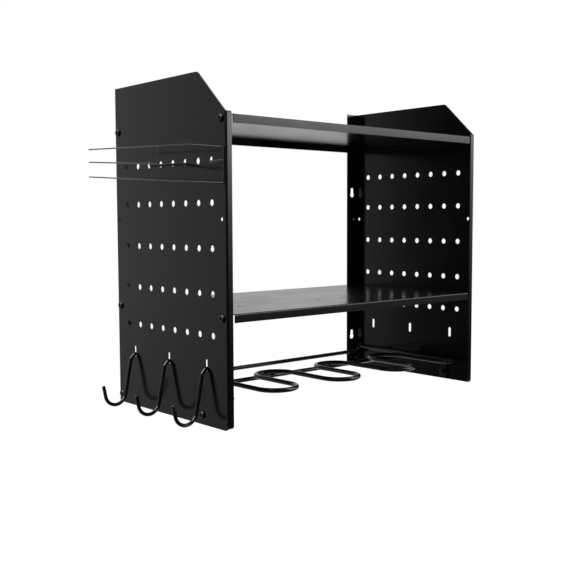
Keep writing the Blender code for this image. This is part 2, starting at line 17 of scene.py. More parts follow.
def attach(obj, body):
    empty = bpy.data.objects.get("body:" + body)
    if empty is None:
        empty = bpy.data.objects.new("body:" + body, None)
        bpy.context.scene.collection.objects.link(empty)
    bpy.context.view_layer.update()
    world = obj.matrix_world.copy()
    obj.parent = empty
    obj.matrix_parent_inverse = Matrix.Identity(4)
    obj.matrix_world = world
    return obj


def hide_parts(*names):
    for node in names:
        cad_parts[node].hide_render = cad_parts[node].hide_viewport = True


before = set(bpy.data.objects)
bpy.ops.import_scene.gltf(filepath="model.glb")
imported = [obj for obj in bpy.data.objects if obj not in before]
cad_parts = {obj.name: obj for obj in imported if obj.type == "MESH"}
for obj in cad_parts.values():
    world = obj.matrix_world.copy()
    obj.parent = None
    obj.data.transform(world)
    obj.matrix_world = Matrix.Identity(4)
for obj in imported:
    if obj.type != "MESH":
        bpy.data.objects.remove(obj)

LOG = logging.getLogger("organizer")
BODY = "organizer"
MM = 0.001
TOUCH = 0.3 * MM
OVERRUN = 2 * MM
EASE_SEGMENTS = 2
EASE_ANGLE = math.radians(40)

Pair = tuple[float, float]
Triple = tuple[float, float, float]


class Side(Enum):
    """The two side panels, by the sign of their place along X."""

    LEFT = -1
    RIGHT = 1


class Level(Enum):
    """The two shelves, by their node's name."""

    TOP = "top_shelf"
    MIDDLE = "middle_shelf"


class End(Enum):
    """The two ends of each side of the hanger."""

    FRONT = "front"
    BACK = "back"


class HookPlace(Enum):
    """The three hooks, by their place in the row of slots."""

    BACK = "back"
    MIDDLE = "middle"
    FRONT = "front"


class Fixing(Enum):
    """What a row of fasteners holds to the side panels."""

    SHELF = "shelf"
    HANGER = "hanger"


class Fastener(Enum):
    """The two kinds of fastener."""

    BOLT = "bolt"
    NUT = "nut"


class Axis(Enum):
    """The direction a prism is pushed along."""

    X = 0
    Y = 1
    Z = 2


# Node helpers


def linear(code: str) -> tuple[float, float, float, float]:
    """Turn an sRGB hex colour into a linear colour.

    Args:
        code: Six hex digits, with or without a leading '#'.

    Returns:
        Red, green, blue and alpha, linear.
    """
    digits = code.lstrip("#")
    parts = [int(digits[start:start + 2], 16) / 255 for start in (0, 2, 4)]
    channels = [part / 12.92 if part <= 0.04045 else ((part + 0.055) / 1.055) ** 2.4 for part in parts]
    return (*channels, 1.0)


def add_node(tree: bpy.types.NodeTree, kind: str, inputs: dict | None = None, stops: list[Pair] | None = None,
             **settings) -> bpy.types.Node:
    """Add a node with its settings, values and links.

    Args:
        tree: The node tree that gets the node.
        kind: The node's type name.
        inputs: Input name or index, with the value or the output socket that feeds it.
        stops: A colour ramp's places from 0 to 1, with their greys.
        **settings: The node's own properties.

    Returns:
        The new node.
    """
    item = tree.nodes.new(kind)
    for key, value in settings.items():
        setattr(item, key, value)
    for key, value in (inputs or {}).items():
        if isinstance(value, bpy.types.NodeSocket):
            tree.links.new(value, item.inputs[key])
        else:
            item.inputs[key].default_value = value
    for index, (place, grey) in enumerate(stops or []):
        elements = item.color_ramp.elements
        stop = elements[index] if index < 2 else elements.new(1.0)
        stop.position = place
        stop.color = (grey, grey, grey, 1)
    return item


class ShapeTree:
    """A geometry node tree with named inputs that is run on a mesh and leaves a plain mesh."""

    def __init__(self, name: str, sizes: dict[str, str]) -> None:
        """Make the tree with its inputs.

        Args:
            name: The tree's name.
            sizes: Each input's name, with its socket type.
        """
        self.tree = bpy.data.node_groups.new(name, "GeometryNodeTree")
        face = self.tree.interface
        face.new_socket("Geometry", in_out="INPUT", socket_type="NodeSocketGeometry")
        for label, kind in sizes.items():
            face.new_socket(label, in_out="INPUT", socket_type=kind)
        face.new_socket("Material", in_out="INPUT", socket_type="NodeSocketMaterial")
        face.new_socket("Geometry", in_out="OUTPUT", socket_type="NodeSocketGeometry")
        self.given = self.add("NodeGroupInput").outputs

    def add(self, kind: str, inputs: dict | None = None, **settings) -> bpy.types.Node:
        """Add a node to this tree."""
        return add_node(self.tree, kind, inputs, **settings)

    def close(self, geometry: bpy.types.NodeSocket) -> None:
        """End the tree: real geometry, smooth faces and the material.

        Args:
            geometry: The socket with the finished shape.
        """
        real = self.add("GeometryNodeRealizeInstances", {"Geometry": geometry})
        smooth = self.add("GeometryNodeSetShadeSmooth", {"Geometry": real.outputs[0]})
        coated = self.add("GeometryNodeSetMaterial",
                          {"Geometry": smooth.outputs[0], "Material": self.given["Material"]})
        self.add("NodeGroupOutput", {"Geometry": coated.outputs[0]})

    def attach(self, item: bpy.types.Object, **values) -> None:
        """Put the tree on an object as a modifier, each input set by its identifier.

        Args:
            item: The object.
            **values: Input names, with _ for a space, and their values.
        """
        modifier = item.modifiers.new(self.tree.name, "NODES")
        modifier.node_group = self.tree
        for socket in self.tree.interface.items_tree:
            key = socket.name.replace(" ", "_")
            if socket.in_out == "INPUT" and key in values:
                modifier[socket.identifier] = values[key]


class BentWire(ShapeTree):
    """Round wire along a path: each corner bent to its own radius, each end eased and closed."""

    def __init__(self) -> None:
        """Build the tree."""
        super().__init__("bent_wire", {"Diameter": "NodeSocketFloat", "Sides": "NodeSocketInt",
                                       "Bend Steps": "NodeSocketInt"})
        bend = self.add("GeometryNodeInputNamedAttribute", {"Name": "bend"}, data_type="FLOAT")
        girth = self.add("GeometryNodeInputNamedAttribute", {"Name": "girth"}, data_type="FLOAT")
        path = self.add("GeometryNodeMeshToCurve", {"Mesh": self.given["Geometry"]})
        bent = self.add("GeometryNodeFilletCurve",
                        {"Curve": path.outputs[0], "Count": self.given["Bend Steps"],
                         "Radius": bend.outputs["Attribute"], "Limit Radius": True}, mode="POLY")
        half = self.add("ShaderNodeMath", {0: self.given["Diameter"], 1: 0.5}, operation="MULTIPLY")
        ring = self.add("GeometryNodeCurvePrimitiveCircle",
                        {"Resolution": self.given["Sides"], "Radius": half.outputs[0]})
        skin = self.add("GeometryNodeCurveToMesh",
                        {"Curve": bent.outputs[0], "Profile Curve": ring.outputs[0],
                         "Scale": girth.outputs["Attribute"], "Fill Caps": True})
        self.close(skin.outputs[0])


class Perforation(ShapeTree):
    """Round holes through a sheet: one per point, with its own bore and aim."""

    def __init__(self) -> None:
        """Build the tree."""
        super().__init__("perforation", {"Holes": "NodeSocketObject", "Sides": "NodeSocketInt",
                                         "Reach": "NodeSocketFloat"})
        aim = self.add("GeometryNodeInputNamedAttribute", {"Name": "aim"}, data_type="FLOAT_VECTOR")
        bore = self.add("GeometryNodeInputNamedAttribute", {"Name": "bore"}, data_type="FLOAT")
        points = self.add("GeometryNodeObjectInfo", {"Object": self.given["Holes"]})
        punch = self.add("GeometryNodeMeshCylinder",
                         {"Vertices": self.given["Sides"], "Radius": 0.5, "Depth": 1})
        turn = self.add("FunctionNodeAlignRotationToVector", {"Vector": aim.outputs["Attribute"]})
        size = self.add("ShaderNodeCombineXYZ",
                        {"X": bore.outputs["Attribute"], "Y": bore.outputs["Attribute"],
                         "Z": self.given["Reach"]})
        punches = self.add("GeometryNodeInstanceOnPoints",
                           {"Points": points.outputs["Geometry"], "Instance": punch.outputs["Mesh"],
                            "Rotation": turn.outputs[0], "Scale": size.outputs[0]})
        solid = self.add("GeometryNodeRealizeInstances", {"Geometry": punches.outputs[0]})
        pierced = self.add("GeometryNodeMeshBoolean",
                           {"Mesh 1": self.given["Geometry"], "Mesh 2": solid.outputs[0]},
                           operation="DIFFERENCE", solver="EXACT")
        self.close(pierced.outputs["Mesh"])


class FastenerRow(ShapeTree):
    """One fastener at each point, aimed by the point and spun about itself by chance."""

    def __init__(self) -> None:
        """Build the tree."""
        super().__init__("fastener_row", {"Fastener": "NodeSocketObject", "Spin": "NodeSocketFloat",
                                          "Seed": "NodeSocketInt"})
        aim = self.add("GeometryNodeInputNamedAttribute", {"Name": "aim"}, data_type="FLOAT_VECTOR")
        pattern = self.add("GeometryNodeObjectInfo", {"Object": self.given["Fastener"]})
        turn = self.add("FunctionNodeAlignRotationToVector", {"Vector": aim.outputs["Attribute"]})
        chance = self.add("FunctionNodeRandomValue", {"Seed": self.given["Seed"]}, data_type="FLOAT")
        angle = self.add("ShaderNodeMath", {0: chance.outputs[1], 1: self.given["Spin"]},
                         operation="MULTIPLY")
        spin = self.add("FunctionNodeAxisAngleToRotation", {"Axis": (0, 0, 1), "Angle": angle.outputs[0]})
        turned = self.add("FunctionNodeRotateRotation",
                          {"Rotation": turn.outputs[0], "Rotate By": spin.outputs[0]}, rotation_space="LOCAL")
        row = self.add("GeometryNodeInstanceOnPoints",
                       {"Points": self.given["Geometry"], "Instance": pattern.outputs["Geometry"],
                        "Rotation": turned.outputs[0]})
        self.close(row.outputs[0])


class WeldBeads(ShapeTree):
    """A small flattened bead of weld at each point, with its own three half sizes and a rippled skin."""

    rings = 10
    ripples_per_metre = 900.0

    def __init__(self) -> None:
        """Build the tree."""
        super().__init__("weld_beads", {"Segments": "NodeSocketInt", "Ripple": "NodeSocketFloat",
                                        "Seed": "NodeSocketInt"})
        half = self.add("GeometryNodeInputNamedAttribute", {"Name": "half"}, data_type="FLOAT_VECTOR")
        ball = self.add("GeometryNodeMeshUVSphere",
                        {"Segments": self.given["Segments"], "Rings": self.rings, "Radius": 1})
        beads = self.add("GeometryNodeInstanceOnPoints",
                         {"Points": self.given["Geometry"], "Instance": ball.outputs["Mesh"],
                          "Scale": half.outputs["Attribute"]})
        real = self.add("GeometryNodeRealizeInstances", {"Geometry": beads.outputs[0]})
        seed = self.add("ShaderNodeMath", {0: self.given["Seed"], 1: 1.0}, operation="MULTIPLY")
        noise = self.add("ShaderNodeTexNoise",
                         {"W": seed.outputs[0], "Scale": self.ripples_per_metre, "Detail": 1.0},
                         noise_dimensions="4D")
        lift = self.add("ShaderNodeMath", {0: noise.outputs[0], 1: 0.5}, operation="SUBTRACT")
        depth = self.add("ShaderNodeMath", {0: lift.outputs[0], 1: self.given["Ripple"]},
                         operation="MULTIPLY")
        normal = self.add("GeometryNodeInputNormal")
        push = self.add("ShaderNodeVectorMath", {0: normal.outputs["Normal"], "Scale": depth.outputs[0]},
                        operation="SCALE")
        moved = self.add("GeometryNodeSetPosition",
                         {"Geometry": real.outputs[0], "Offset": push.outputs["Vector"]})
        self.close(moved.outputs[0])

    def lay(self, name: str, spots: list, halves: list, body: str, finish: "Finish",
            **values) -> bpy.types.Object:
        """Lay the beads of a sub-assembly and put them on the frame.

        Args:
            name: The piece's name.
            spots: The beads' middles.
            halves: Their half sizes.
            body: The body that they move with.
            finish: What they are coated with.
            **values: The tree's Segments, Ripple and Seed.

        Returns:
            The beads as one plain mesh.
        """
        item = new_points(name, spots, vectors={"half": halves})
        self.attach(item, **values, Material=finish.material())
        settle(item)
        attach(item, body)
        LOG.info("%s: %d beads", name, len(spots))
        return item


# Finishes


@dataclass(frozen=True)
class Finish:
    """What every finish has: a name, the record's material slot and a shader that it paints."""

    name: str
    slot: str

    def material(self) -> bpy.types.Material:
        """Build the material, or return it if it is there already.

        Returns:
            The finish as a node material.
        """
        made = bpy.data.materials.get(self.name)
        if made is None:
            made = bpy.data.materials.new(self.name)
            made.use_nodes = True
            self.paint(made.node_tree, made.node_tree.nodes["Principled BSDF"])
        return made

    def paint(self, tree: bpy.types.NodeTree, shader: bpy.types.Node) -> None:
        """Add the nodes of the finish, which each kind of finish does in its own way."""
        raise NotImplementedError(self.name)


@dataclass(frozen=True)
class PowderCoat(Finish):
    """Black polyester powder coat, sprayed dry on steel and baked.

    It gives the eye a deep black with a soft mirror at low angles, faint waves from the powder's flow and a
    fine grain in its highlights. The grain is drawn coarser than the real one, so that it shows.
    """

    colour: str = "#0c0c0d"
    roughness: float = 0.2
    ior: float = 1.5
    wave_mm: float = 2.2
    wave_depth_mm: float = 0.006
    grain_mm: float = 0.5
    grain_depth_mm: float = 0.0012
    cloud_mm: float = 71.4
    cloud_range: Pair = (0.3, 0.7)
    roughness_spread: Pair = (-0.02, 0.035)
    speck_range: Pair = (0.52, 0.72)
    speck_gain: float = 1.9

    def paint(self, tree: bpy.types.NodeTree, shader: bpy.types.Node) -> None:
        """Add the coat's uneven shine, its pale specks, its waves and its grain.

        Args:
            tree: The material's node tree.
            shader: Its shader.
        """
        shader.inputs["IOR"].default_value = self.ior
        spot = add_node(tree, "ShaderNodeTexCoord").outputs["Object"]
        waves = add_node(tree, "ShaderNodeTexNoise",
                         {"Vector": spot, "Scale": 1 / (self.wave_mm * MM), "Detail": 1.0, "Roughness": 0.4})
        grain = add_node(tree, "ShaderNodeTexNoise",
                         {"Vector": spot, "Scale": 1 / (self.grain_mm * MM), "Detail": 2.0, "Roughness": 0.6})
        cloud = add_node(tree, "ShaderNodeTexNoise",
                         {"Vector": spot, "Scale": 1 / (self.cloud_mm * MM), "Detail": 3.0})
        smoothest, roughest = (self.roughness + change for change in self.roughness_spread)
        shine = add_node(tree, "ShaderNodeMapRange",
                         {"Value": cloud.outputs[0], "From Min": self.cloud_range[0],
                          "From Max": self.cloud_range[1], "To Min": smoothest, "To Max": roughest})
        tree.links.new(shine.outputs["Result"], shader.inputs["Roughness"])
        dark = linear(self.colour)
        pale = tuple(min(1.0, part * self.speck_gain) for part in dark[:3]) + (1.0,)
        speck = add_node(tree, "ShaderNodeMapRange",
                         {"Value": grain.outputs[0], "From Min": self.speck_range[0],
                          "From Max": self.speck_range[1]})
        tint = add_node(tree, "ShaderNodeMix", {0: speck.outputs["Result"], 6: dark, 7: pale},
                        data_type="RGBA")
        tree.links.new(tint.outputs[2], shader.inputs["Base Color"])
        ripple = add_node(tree, "ShaderNodeBump", {"Strength": 1.0, "Distance": self.wave_depth_mm * MM,
                                                   "Height": waves.outputs[0]})
        fine = add_node(tree, "ShaderNodeBump", {"Strength": 1.0, "Distance": self.grain_depth_mm * MM,
                                                 "Height": grain.outputs[0], "Normal": ripple.outputs[0]})
        tree.links.new(fine.outputs[0], shader.inputs["Normal"])


@dataclass(frozen=True)
class BlackZinc(Finish):
    """Steel fasteners plated with zinc and passivated black.

    It gives the eye a dull black metal, a little uneven, with blurred highlights and faint turning marks,
    drawn coarser than the real ones.
    """

    name: str = "black_zinc_steel"
    slot: str = "black_steel"
    colour: str = "#38383c"
    pale_colour: str = "#4c4c50"
    roughness: float = 0.34
    roughness_spread: float = 0.08
    mark_mm: float = 0.35
    mark_depth_mm: float = 0.004

    def paint(self, tree: bpy.types.NodeTree, shader: bpy.types.Node) -> None:
        """Add the metal's uneven tint and shine and its turning marks.

        Args:
            tree: The material's node tree.
            shader: Its shader.
        """
        shader.inputs["Metallic"].default_value = 1.0
        spot = add_node(tree, "ShaderNodeTexCoord").outputs["Object"]
        marks = add_node(tree, "ShaderNodeTexNoise",
                         {"Vector": spot, "Scale": 1 / (self.mark_mm * MM), "Detail": 3.0})
        tint = add_node(tree, "ShaderNodeMix",
                        {0: marks.outputs[0], 6: linear(self.colour), 7: linear(self.pale_colour)},
                        data_type="RGBA")
        tree.links.new(tint.outputs[2], shader.inputs["Base Color"])
        shine = add_node(tree, "ShaderNodeMapRange",
                         {"Value": marks.outputs[0], "To Min": self.roughness - self.roughness_spread,
                          "To Max": self.roughness + self.roughness_spread})
        tree.links.new(shine.outputs["Result"], shader.inputs["Roughness"])
        rough = add_node(tree, "ShaderNodeBump", {"Strength": 1.0, "Distance": self.mark_depth_mm * MM,
                                                  "Height": marks.outputs[0]})
        tree.links.new(rough.outputs[0], shader.inputs["Normal"])


# Mesh helpers


def rounded(corners: list, radii: list[float], steps: int, closed: bool = False) -> list[Vector]:
    """Round each corner of a path to its own radius.

    Args:
        corners: The corners, in two or three dimensions.
        radii: One radius per corner, 0 to leave it sharp.
        steps: Parts per quarter turn.
        closed: Whether the last corner joins the first.

    Returns:
        The points of the rounded path.
    """
    spots = [Vector((*corner, 0)) if len(corner) == 2 else Vector(corner) for corner in corners]
    points: list[Vector] = []
    for index, (corner, radius) in enumerate(zip(spots, radii)):
        if radius == 0 or (not closed and index in (0, len(spots) - 1)):
            points.append(corner)
            continue
        ahead = (corner - spots[index - 1]).normalized()
        beyond = (spots[(index + 1) % len(spots)] - corner).normalized()
        turn = ahead.angle(beyond)
        across = (beyond - ahead * ahead.dot(beyond)).normalized()
        centre = corner - ahead * radius * math.tan(turn / 2) + across * radius
        parts = max(2, round(steps * turn / (math.pi / 2)))
        for part in range(parts + 1):
            angle = turn * part / parts
            points.append(centre - across * radius * math.cos(angle) + ahead * radius * math.sin(angle))
    return points


def rounded_outline(corners: list[Pair], radii: list[float], steps: int) -> list[Pair]:
    """Round the corners of a closed outline in a plane."""
    return [(spot.x, spot.y) for spot in rounded(corners, radii, steps, closed=True)]


def arc(centre: Pair, radius: float, start: float, end: float, parts: int) -> list[Pair]:
    """Return points along an arc, from one angle to another."""
    turns = [start + (end - start) * part / parts for part in range(parts + 1)]
    return [(centre[0] + radius * math.cos(turn), centre[1] + radius * math.sin(turn)) for turn in turns]


def polygon(centre: Pair, radius: float, sides: int, start: float = 0.0) -> list[Pair]:
    """Return the corners of a regular polygon, the first of them at an angle."""
    return arc(centre, radius, start, start + 2 * math.pi * (sides - 1) / sides, sides - 1)


def rectangle(low_a: float, high_a: float, low_b: float, high_b: float) -> list[Pair]:
    """Return the four corners of a rectangle."""
    return [(low_a, low_b), (high_a, low_b), (high_a, high_b), (low_a, high_b)]


def add_prism(shape: bmesh.types.BMesh, outline: list[Pair], axis: Axis, low: float, high: float) -> None:
    """Add a closed prism to a bmesh.

    Args:
        shape: The bmesh.
        outline: Corners in the plane across the axis.
        axis: The direction that the outline is pushed along.
        low: Where the prism starts on the axis.
        high: Where it ends.
    """
    def spot(pair: Pair, along: float) -> list[float]:
        """Put the axis value in its place among the other two."""
        values = list(pair)
        values.insert(axis.value, along)
        return values

    floor = [shape.verts.new(spot(pair, low)) for pair in outline]
    roof = [shape.verts.new(spot(pair, high)) for pair in outline]
    faces = [shape.faces.new(floor), shape.faces.new(roof)]
    for index, vert in enumerate(floor):
        after = (index + 1) % len(floor)
        faces.append(shape.faces.new((vert, floor[after], roof[after], roof[index])))
    bmesh.ops.recalc_face_normals(shape, faces=faces)


def new_object(name: str, shape: bmesh.types.BMesh) -> bpy.types.Object:
    """Turn a bmesh into an object at the origin, with smooth faces.

    Args:
        name: The object's name.
        shape: The bmesh, which is freed.

    Returns:
        The object, linked to the scene.
    """
    mesh = bpy.data.meshes.new(name)
    shape.to_mesh(mesh)
    shape.free()
    mesh.shade_smooth()
    item = bpy.data.objects.new(name, mesh)
    bpy.context.scene.collection.objects.link(item)
    return item


def new_points(name: str, spots: list, floats: dict | None = None, vectors: dict | None = None,
               joined: bool = False) -> bpy.types.Object:
    """Make an object of bare points, or of a path, that a shape tree reads.

    Args:
        name: The object's name.
        spots: The points.
        floats: Number attributes by name, one value per point.
        vectors: Vector attributes by name, one value per point.
        joined: Whether each point is joined to the next.

    Returns:
        The object, linked to the scene.
    """
    edges = [(index, index + 1) for index in range(len(spots) - 1)] if joined else []
    mesh = bpy.data.meshes.new(name)
    mesh.from_pydata([tuple(spot) for spot in spots], edges, [])
    for key, values in (floats or {}).items():
        mesh.attributes.new(key, "FLOAT", "POINT").data.foreach_set("value", list(values))
    for key, values in (vectors or {}).items():
        flat = [part for value in values for part in value]
        mesh.attributes.new(key, "FLOAT_VECTOR", "POINT").data.foreach_set("vector", flat)
    item = bpy.data.objects.new(name, mesh)
    bpy.context.scene.collection.objects.link(item)
    return item


def carve(item: bpy.types.Object, cuts: bmesh.types.BMesh) -> bpy.types.Object:
    """Cut closed solids out of an object with a Boolean modifier.

    Args:
        item: The object.
        cuts: The solids, which are freed.

    Returns:
        The cutter, to be dropped once the object has settled.
    """
    cutter = new_object(item.name + "_cutter", cuts)
    boolean = item.modifiers.new("cuts", "BOOLEAN")
    boolean.operation = "DIFFERENCE"
    boolean.solver = "EXACT"
    boolean.object = cutter
    return cutter


def ease_edges(item: bpy.types.Object, width: float) -> None:
    """Round the cut edges of a sheet a little, as its coat does.

    Args:
        item: The object.
        width: The radius of the eased edge.
    """
    bevel = item.modifiers.new("eased", "BEVEL")
    bevel.width = width
    bevel.segments = EASE_SEGMENTS
    bevel.limit_method = "ANGLE"
    bevel.angle_limit = EASE_ANGLE
    bevel.use_clamp_overlap = False
    weighted = item.modifiers.new("normals", "WEIGHTED_NORMAL")
    weighted.weight = 100
    weighted.keep_sharp = False


def settle(item: bpy.types.Object, *spent: bpy.types.Object) -> bpy.types.Object:
    """Replace an object's mesh and modifiers with their plain result.

    Args:
        item: The object.
        *spent: Cutters, points and patterns that are no longer needed.

    Returns:
        The same object.
    """
    graph = bpy.context.evaluated_depsgraph_get()
    result = bpy.data.meshes.new_from_object(item.evaluated_get(graph), preserve_all_data_layers=True,
                                             depsgraph=graph)
    item.modifiers.clear()
    blank = item.data
    item.data = result
    result.name = item.name
    bpy.data.meshes.remove(blank)
    for used in spent:
        bpy.data.objects.remove(used, do_unlink=True)
    return item


def fit(item: bpy.types.Object, body: str, slot: str, *nodes: str) -> bpy.types.Object:
    """Put a finished piece in its place on the frame.

    Args:
        item: The piece.
        body: The body that it moves with.
        slot: The record's material slot of the piece's finish, not used.
        *nodes: The frame's nodes that it stands for.

    Returns:
        The same piece.
    """
    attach(item, body)
    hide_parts(*nodes)
    LOG.info("%s: %d faces, stands for %s", item.name, len(item.data.polygons), ", ".join(nodes))
    return item


@dataclass
class WirePath:
    """A path of open wire: its corners, the radius of each bend and how finely it is drawn."""

    corners: list
    radii: list[float]
    diameter: float
    sides: int = 20
    bend_steps: int = 8
    ease_share: float = 0.8
    ease_angles: tuple[int, ...] = (0, 30, 52, 70)

    def eased(self) -> tuple[list[Vector], list[float], list[float]]:
        """Add points at both ends that round the wire off.

        Returns:
            The points, their bend radii and their girths.
        """
        spots = [Vector(corner) for corner in self.corners]
        length = self.ease_share * self.diameter / 2
        tops = [math.radians(angle) for angle in self.ease_angles]
        inward = (spots[1] - spots[0]).normalized()
        back = (spots[-2] - spots[-1]).normalized()
        head = [(spots[0] + inward * length * (1 - math.sin(top)), math.cos(top)) for top in tops]
        tail = [(spots[-1] + back * length * (1 - math.sin(top)), math.cos(top)) for top in tops]
        ends = head[::-1] + [(spot, 1.0) for spot in spots[1:-1]] + tail
        straight = [0.0] * len(tops)
        radii = straight + list(self.radii[1:-1]) + straight
        return [spot for spot, _ in ends], radii, [girth for _, girth in ends]

    def build(self, name: str, tree: BentWire, finish: Finish) -> bpy.types.Object:
        """Make the wire.

        Args:
            name: The piece's name.
            tree: The bent wire tree.
            finish: What the wire is coated with.

        Returns:
            The wire as a plain mesh object.
        """
        spots, radii, girths = self.eased()
        item = new_points(name, spots, {"bend": radii, "girth": girths}, joined=True)
        tree.attach(item, Diameter=self.diameter, Sides=self.sides, Bend_Steps=self.bend_steps,
                    Material=finish.material())
        return settle(item)


# Sub-assemblies


@dataclass(frozen=True)
class Layout:
    """Heights and depths that the panels, the shelves, the hooks and the fasteners share."""

    depth: float = 232 * MM
    half_width: float = 221.5 * MM
    top: float = 119 * MM
    bottom: float = -283 * MM
    sheet: float = 1.5 * MM
    shelf_tops: Pair = (68.5 * MM, -152.1 * MM)
    lip: float = 10 * MM
    shelf_sheet: float = 1.2 * MM
    front_bolt: float = -223 * MM
    back_bolt: float = -7.6 * MM
    hanger_bolt: Pair = (-183 * MM, -272 * MM)
    spare_height: float = -46.8 * MM
    bolt_hole: float = 4.6 * MM
    hole_sides: int = 32
    tab_sheet: float = 2.5 * MM
    hook_depths: Triple = (-39.8 * MM, -116 * MM, -192.2 * MM)
    hook_slot_foot: float = -220 * MM

    @property
    def inner_face(self) -> float:
        """The inside of the side panels, from the middle."""
        return self.half_width - self.sheet

    def bolt_places(self) -> dict[str, Pair]:
        """Return where the bolts go through a side panel.

        Returns:
            Depth and height by name.
        """
        top, middle = (height - self.lip / 2 for height in self.shelf_tops)
        return {
            "top_shelf_front": (self.front_bolt, top), "top_shelf_back": (self.back_bolt, top),
            "middle_shelf_front": (self.front_bolt, middle), "middle_shelf_back": (self.back_bolt, middle),
            "hanger_front": self.hanger_bolt, "hanger_back": (self.back_bolt, self.hanger_bolt[1]),
        }


LAYOUT = Layout()


@dataclass
class SidePanel:
    """One folded side panel: web, front flange, rear flange, peg holes, hook slots and keyholes."""

    side: Side
    finish: Finish
    bend: float = 2.2 * MM
    bend_steps: int = 7
    front_flange: float = 8.4 * MM
    rear_flange: float = 21.5 * MM
    chamfer: Pair = (52 * MM, 49 * MM)
    chamfer_bend: float = 8 * MM
    chamfer_steps: int = 24
    toe: float = 6 * MM
    peg_hole: float = 7.5 * MM
    first_peg: float = -204.9 * MM
    peg_pitch: float = 25.4 * MM
    peg_columns: int = 8
    peg_rows: tuple[float, ...] = (19.0 * MM, -28.3 * MM, -79.6 * MM, -130.9 * MM, -178.2 * MM)
    slot_size: Pair = (5 * MM, 14 * MM)
    keyhole_seats: Pair = (0.0, -229 * MM)
    keyhole_neck: float = 6.5 * MM
    keyhole_head: float = 8.5 * MM
    keyhole_drop: float = 7.8 * MM
    arc_parts: int = 12
    keyhole_head_parts: int = 26
    punch_reach: float = 6 * MM
    eased: float = 0.2 * MM

    def section(self) -> list[Pair]:
        """Return the folded section seen from above.

        Returns:
            The section's outline, as place across and depth.
        """
        sign = self.side.value
        outer = sign * LAYOUT.half_width
        inner = sign * LAYOUT.inner_face
        rear = sign * (LAYOUT.half_width - self.rear_flange)
        front = sign * (LAYOUT.half_width - self.front_flange)
        face = -LAYOUT.depth
        corners = [(rear, 0), (outer, 0), (outer, face), (front, face), (front, face + LAYOUT.sheet),
                   (inner, face + LAYOUT.sheet), (inner, -LAYOUT.sheet), (rear, -LAYOUT.sheet)]
        inside = self.bend - LAYOUT.sheet
        radii = [0, self.bend, self.bend, 0, 0, inside, inside, 0]
        return rounded_outline(corners, radii, self.bend_steps)

    def outline_cuts(self, cuts: bmesh.types.BMesh) -> None:
        """Add the chamfer of the top front corner and the round of the bottom one.

        Args:
            cuts: Gets the solids to cut away.
        """
        sign = self.side.value
        reach = sorted((sign * (LAYOUT.half_width + OVERRUN),
                        sign * (LAYOUT.half_width - self.front_flange - OVERRUN)))
        slope = Vector((*self.chamfer, 0)).normalized()
        low = Vector((-LAYOUT.depth, LAYOUT.top - self.chamfer[1], 0)) - slope * OVERRUN
        high = Vector((-LAYOUT.depth + self.chamfer[0], LAYOUT.top, 0))
        beside = high + Vector((self.chamfer_bend, 0, 0))
        edge = rounded([low, high, beside], [0, self.chamfer_bend, 0], self.chamfer_steps)[:-1]
        above = LAYOUT.top + OVERRUN
        wedge = [(spot.x, spot.y) for spot in edge] + [(edge[-1].x, above), (low.x, above)]
        add_prism(cuts, wedge, Axis.X, *reach)
        centre = (-LAYOUT.depth + self.toe, LAYOUT.bottom + self.toe)
        curve = arc(centre, self.toe, math.pi, 1.5 * math.pi, self.arc_parts)
        beyond = (-LAYOUT.depth - OVERRUN, LAYOUT.bottom - OVERRUN)
        toe = [(beyond[0], centre[1])] + curve + [(centre[0], beyond[1]), beyond]
        add_prism(cuts, toe, Axis.X, *reach)

    def slot_cuts(self, cuts: bmesh.types.BMesh) -> None:
        """Add the upright slots for the hooks.

        Args:
            cuts: Gets the solids to cut away.
        """
        sign = self.side.value
        reach = sorted((sign * (LAYOUT.half_width + OVERRUN), sign * (LAYOUT.inner_face - OVERRUN)))
        radius = self.slot_size[0] / 2
        foot = LAYOUT.hook_slot_foot
        for depth in LAYOUT.hook_depths:
            low = arc((depth, foot + radius), radius, math.pi, 2 * math.pi, self.arc_parts)
            high = arc((depth, foot + self.slot_size[1] - radius), radius, 0, math.pi, self.arc_parts)
            add_prism(cuts, low + high, Axis.X, *reach)

    def keyhole_cuts(self, cuts: bmesh.types.BMesh) -> None:
        """Add the keyholes of the rear flange.

        Args:
            cuts: Gets the solids to cut away.
        """
        centre = self.side.value * (LAYOUT.half_width - self.rear_flange / 2)
        neck, head = self.keyhole_neck / 2, self.keyhole_head / 2
        shoulder = math.asin(neck / head)
        for seat in self.keyhole_seats:
            upper = arc((centre, seat), neck, 0, math.pi, self.arc_parts)
            lower = arc((centre, seat - self.keyhole_drop), head, math.pi / 2 + shoulder,
                        2.5 * math.pi - shoulder, self.keyhole_head_parts)
            add_prism(cuts, upper + lower, Axis.Y, -LAYOUT.sheet - OVERRUN, OVERRUN)

    def holes(self) -> tuple[list, list[float]]:
        """Return the round holes for pegs and bolts.

        Returns:
            Their centres and their bores.
        """
        middle = self.side.value * (LAYOUT.half_width - LAYOUT.sheet / 2)
        pegs = [(middle, self.first_peg + column * self.peg_pitch, row)
                for column in range(self.peg_columns) for row in self.peg_rows]
        places = list(LAYOUT.bolt_places().values())
        places += [(LAYOUT.front_bolt, LAYOUT.spare_height), (LAYOUT.back_bolt, LAYOUT.spare_height)]
        bolts = [(middle, depth, height) for depth, height in places]
        return pegs + bolts, [self.peg_hole] * len(pegs) + [LAYOUT.bolt_hole] * len(bolts)

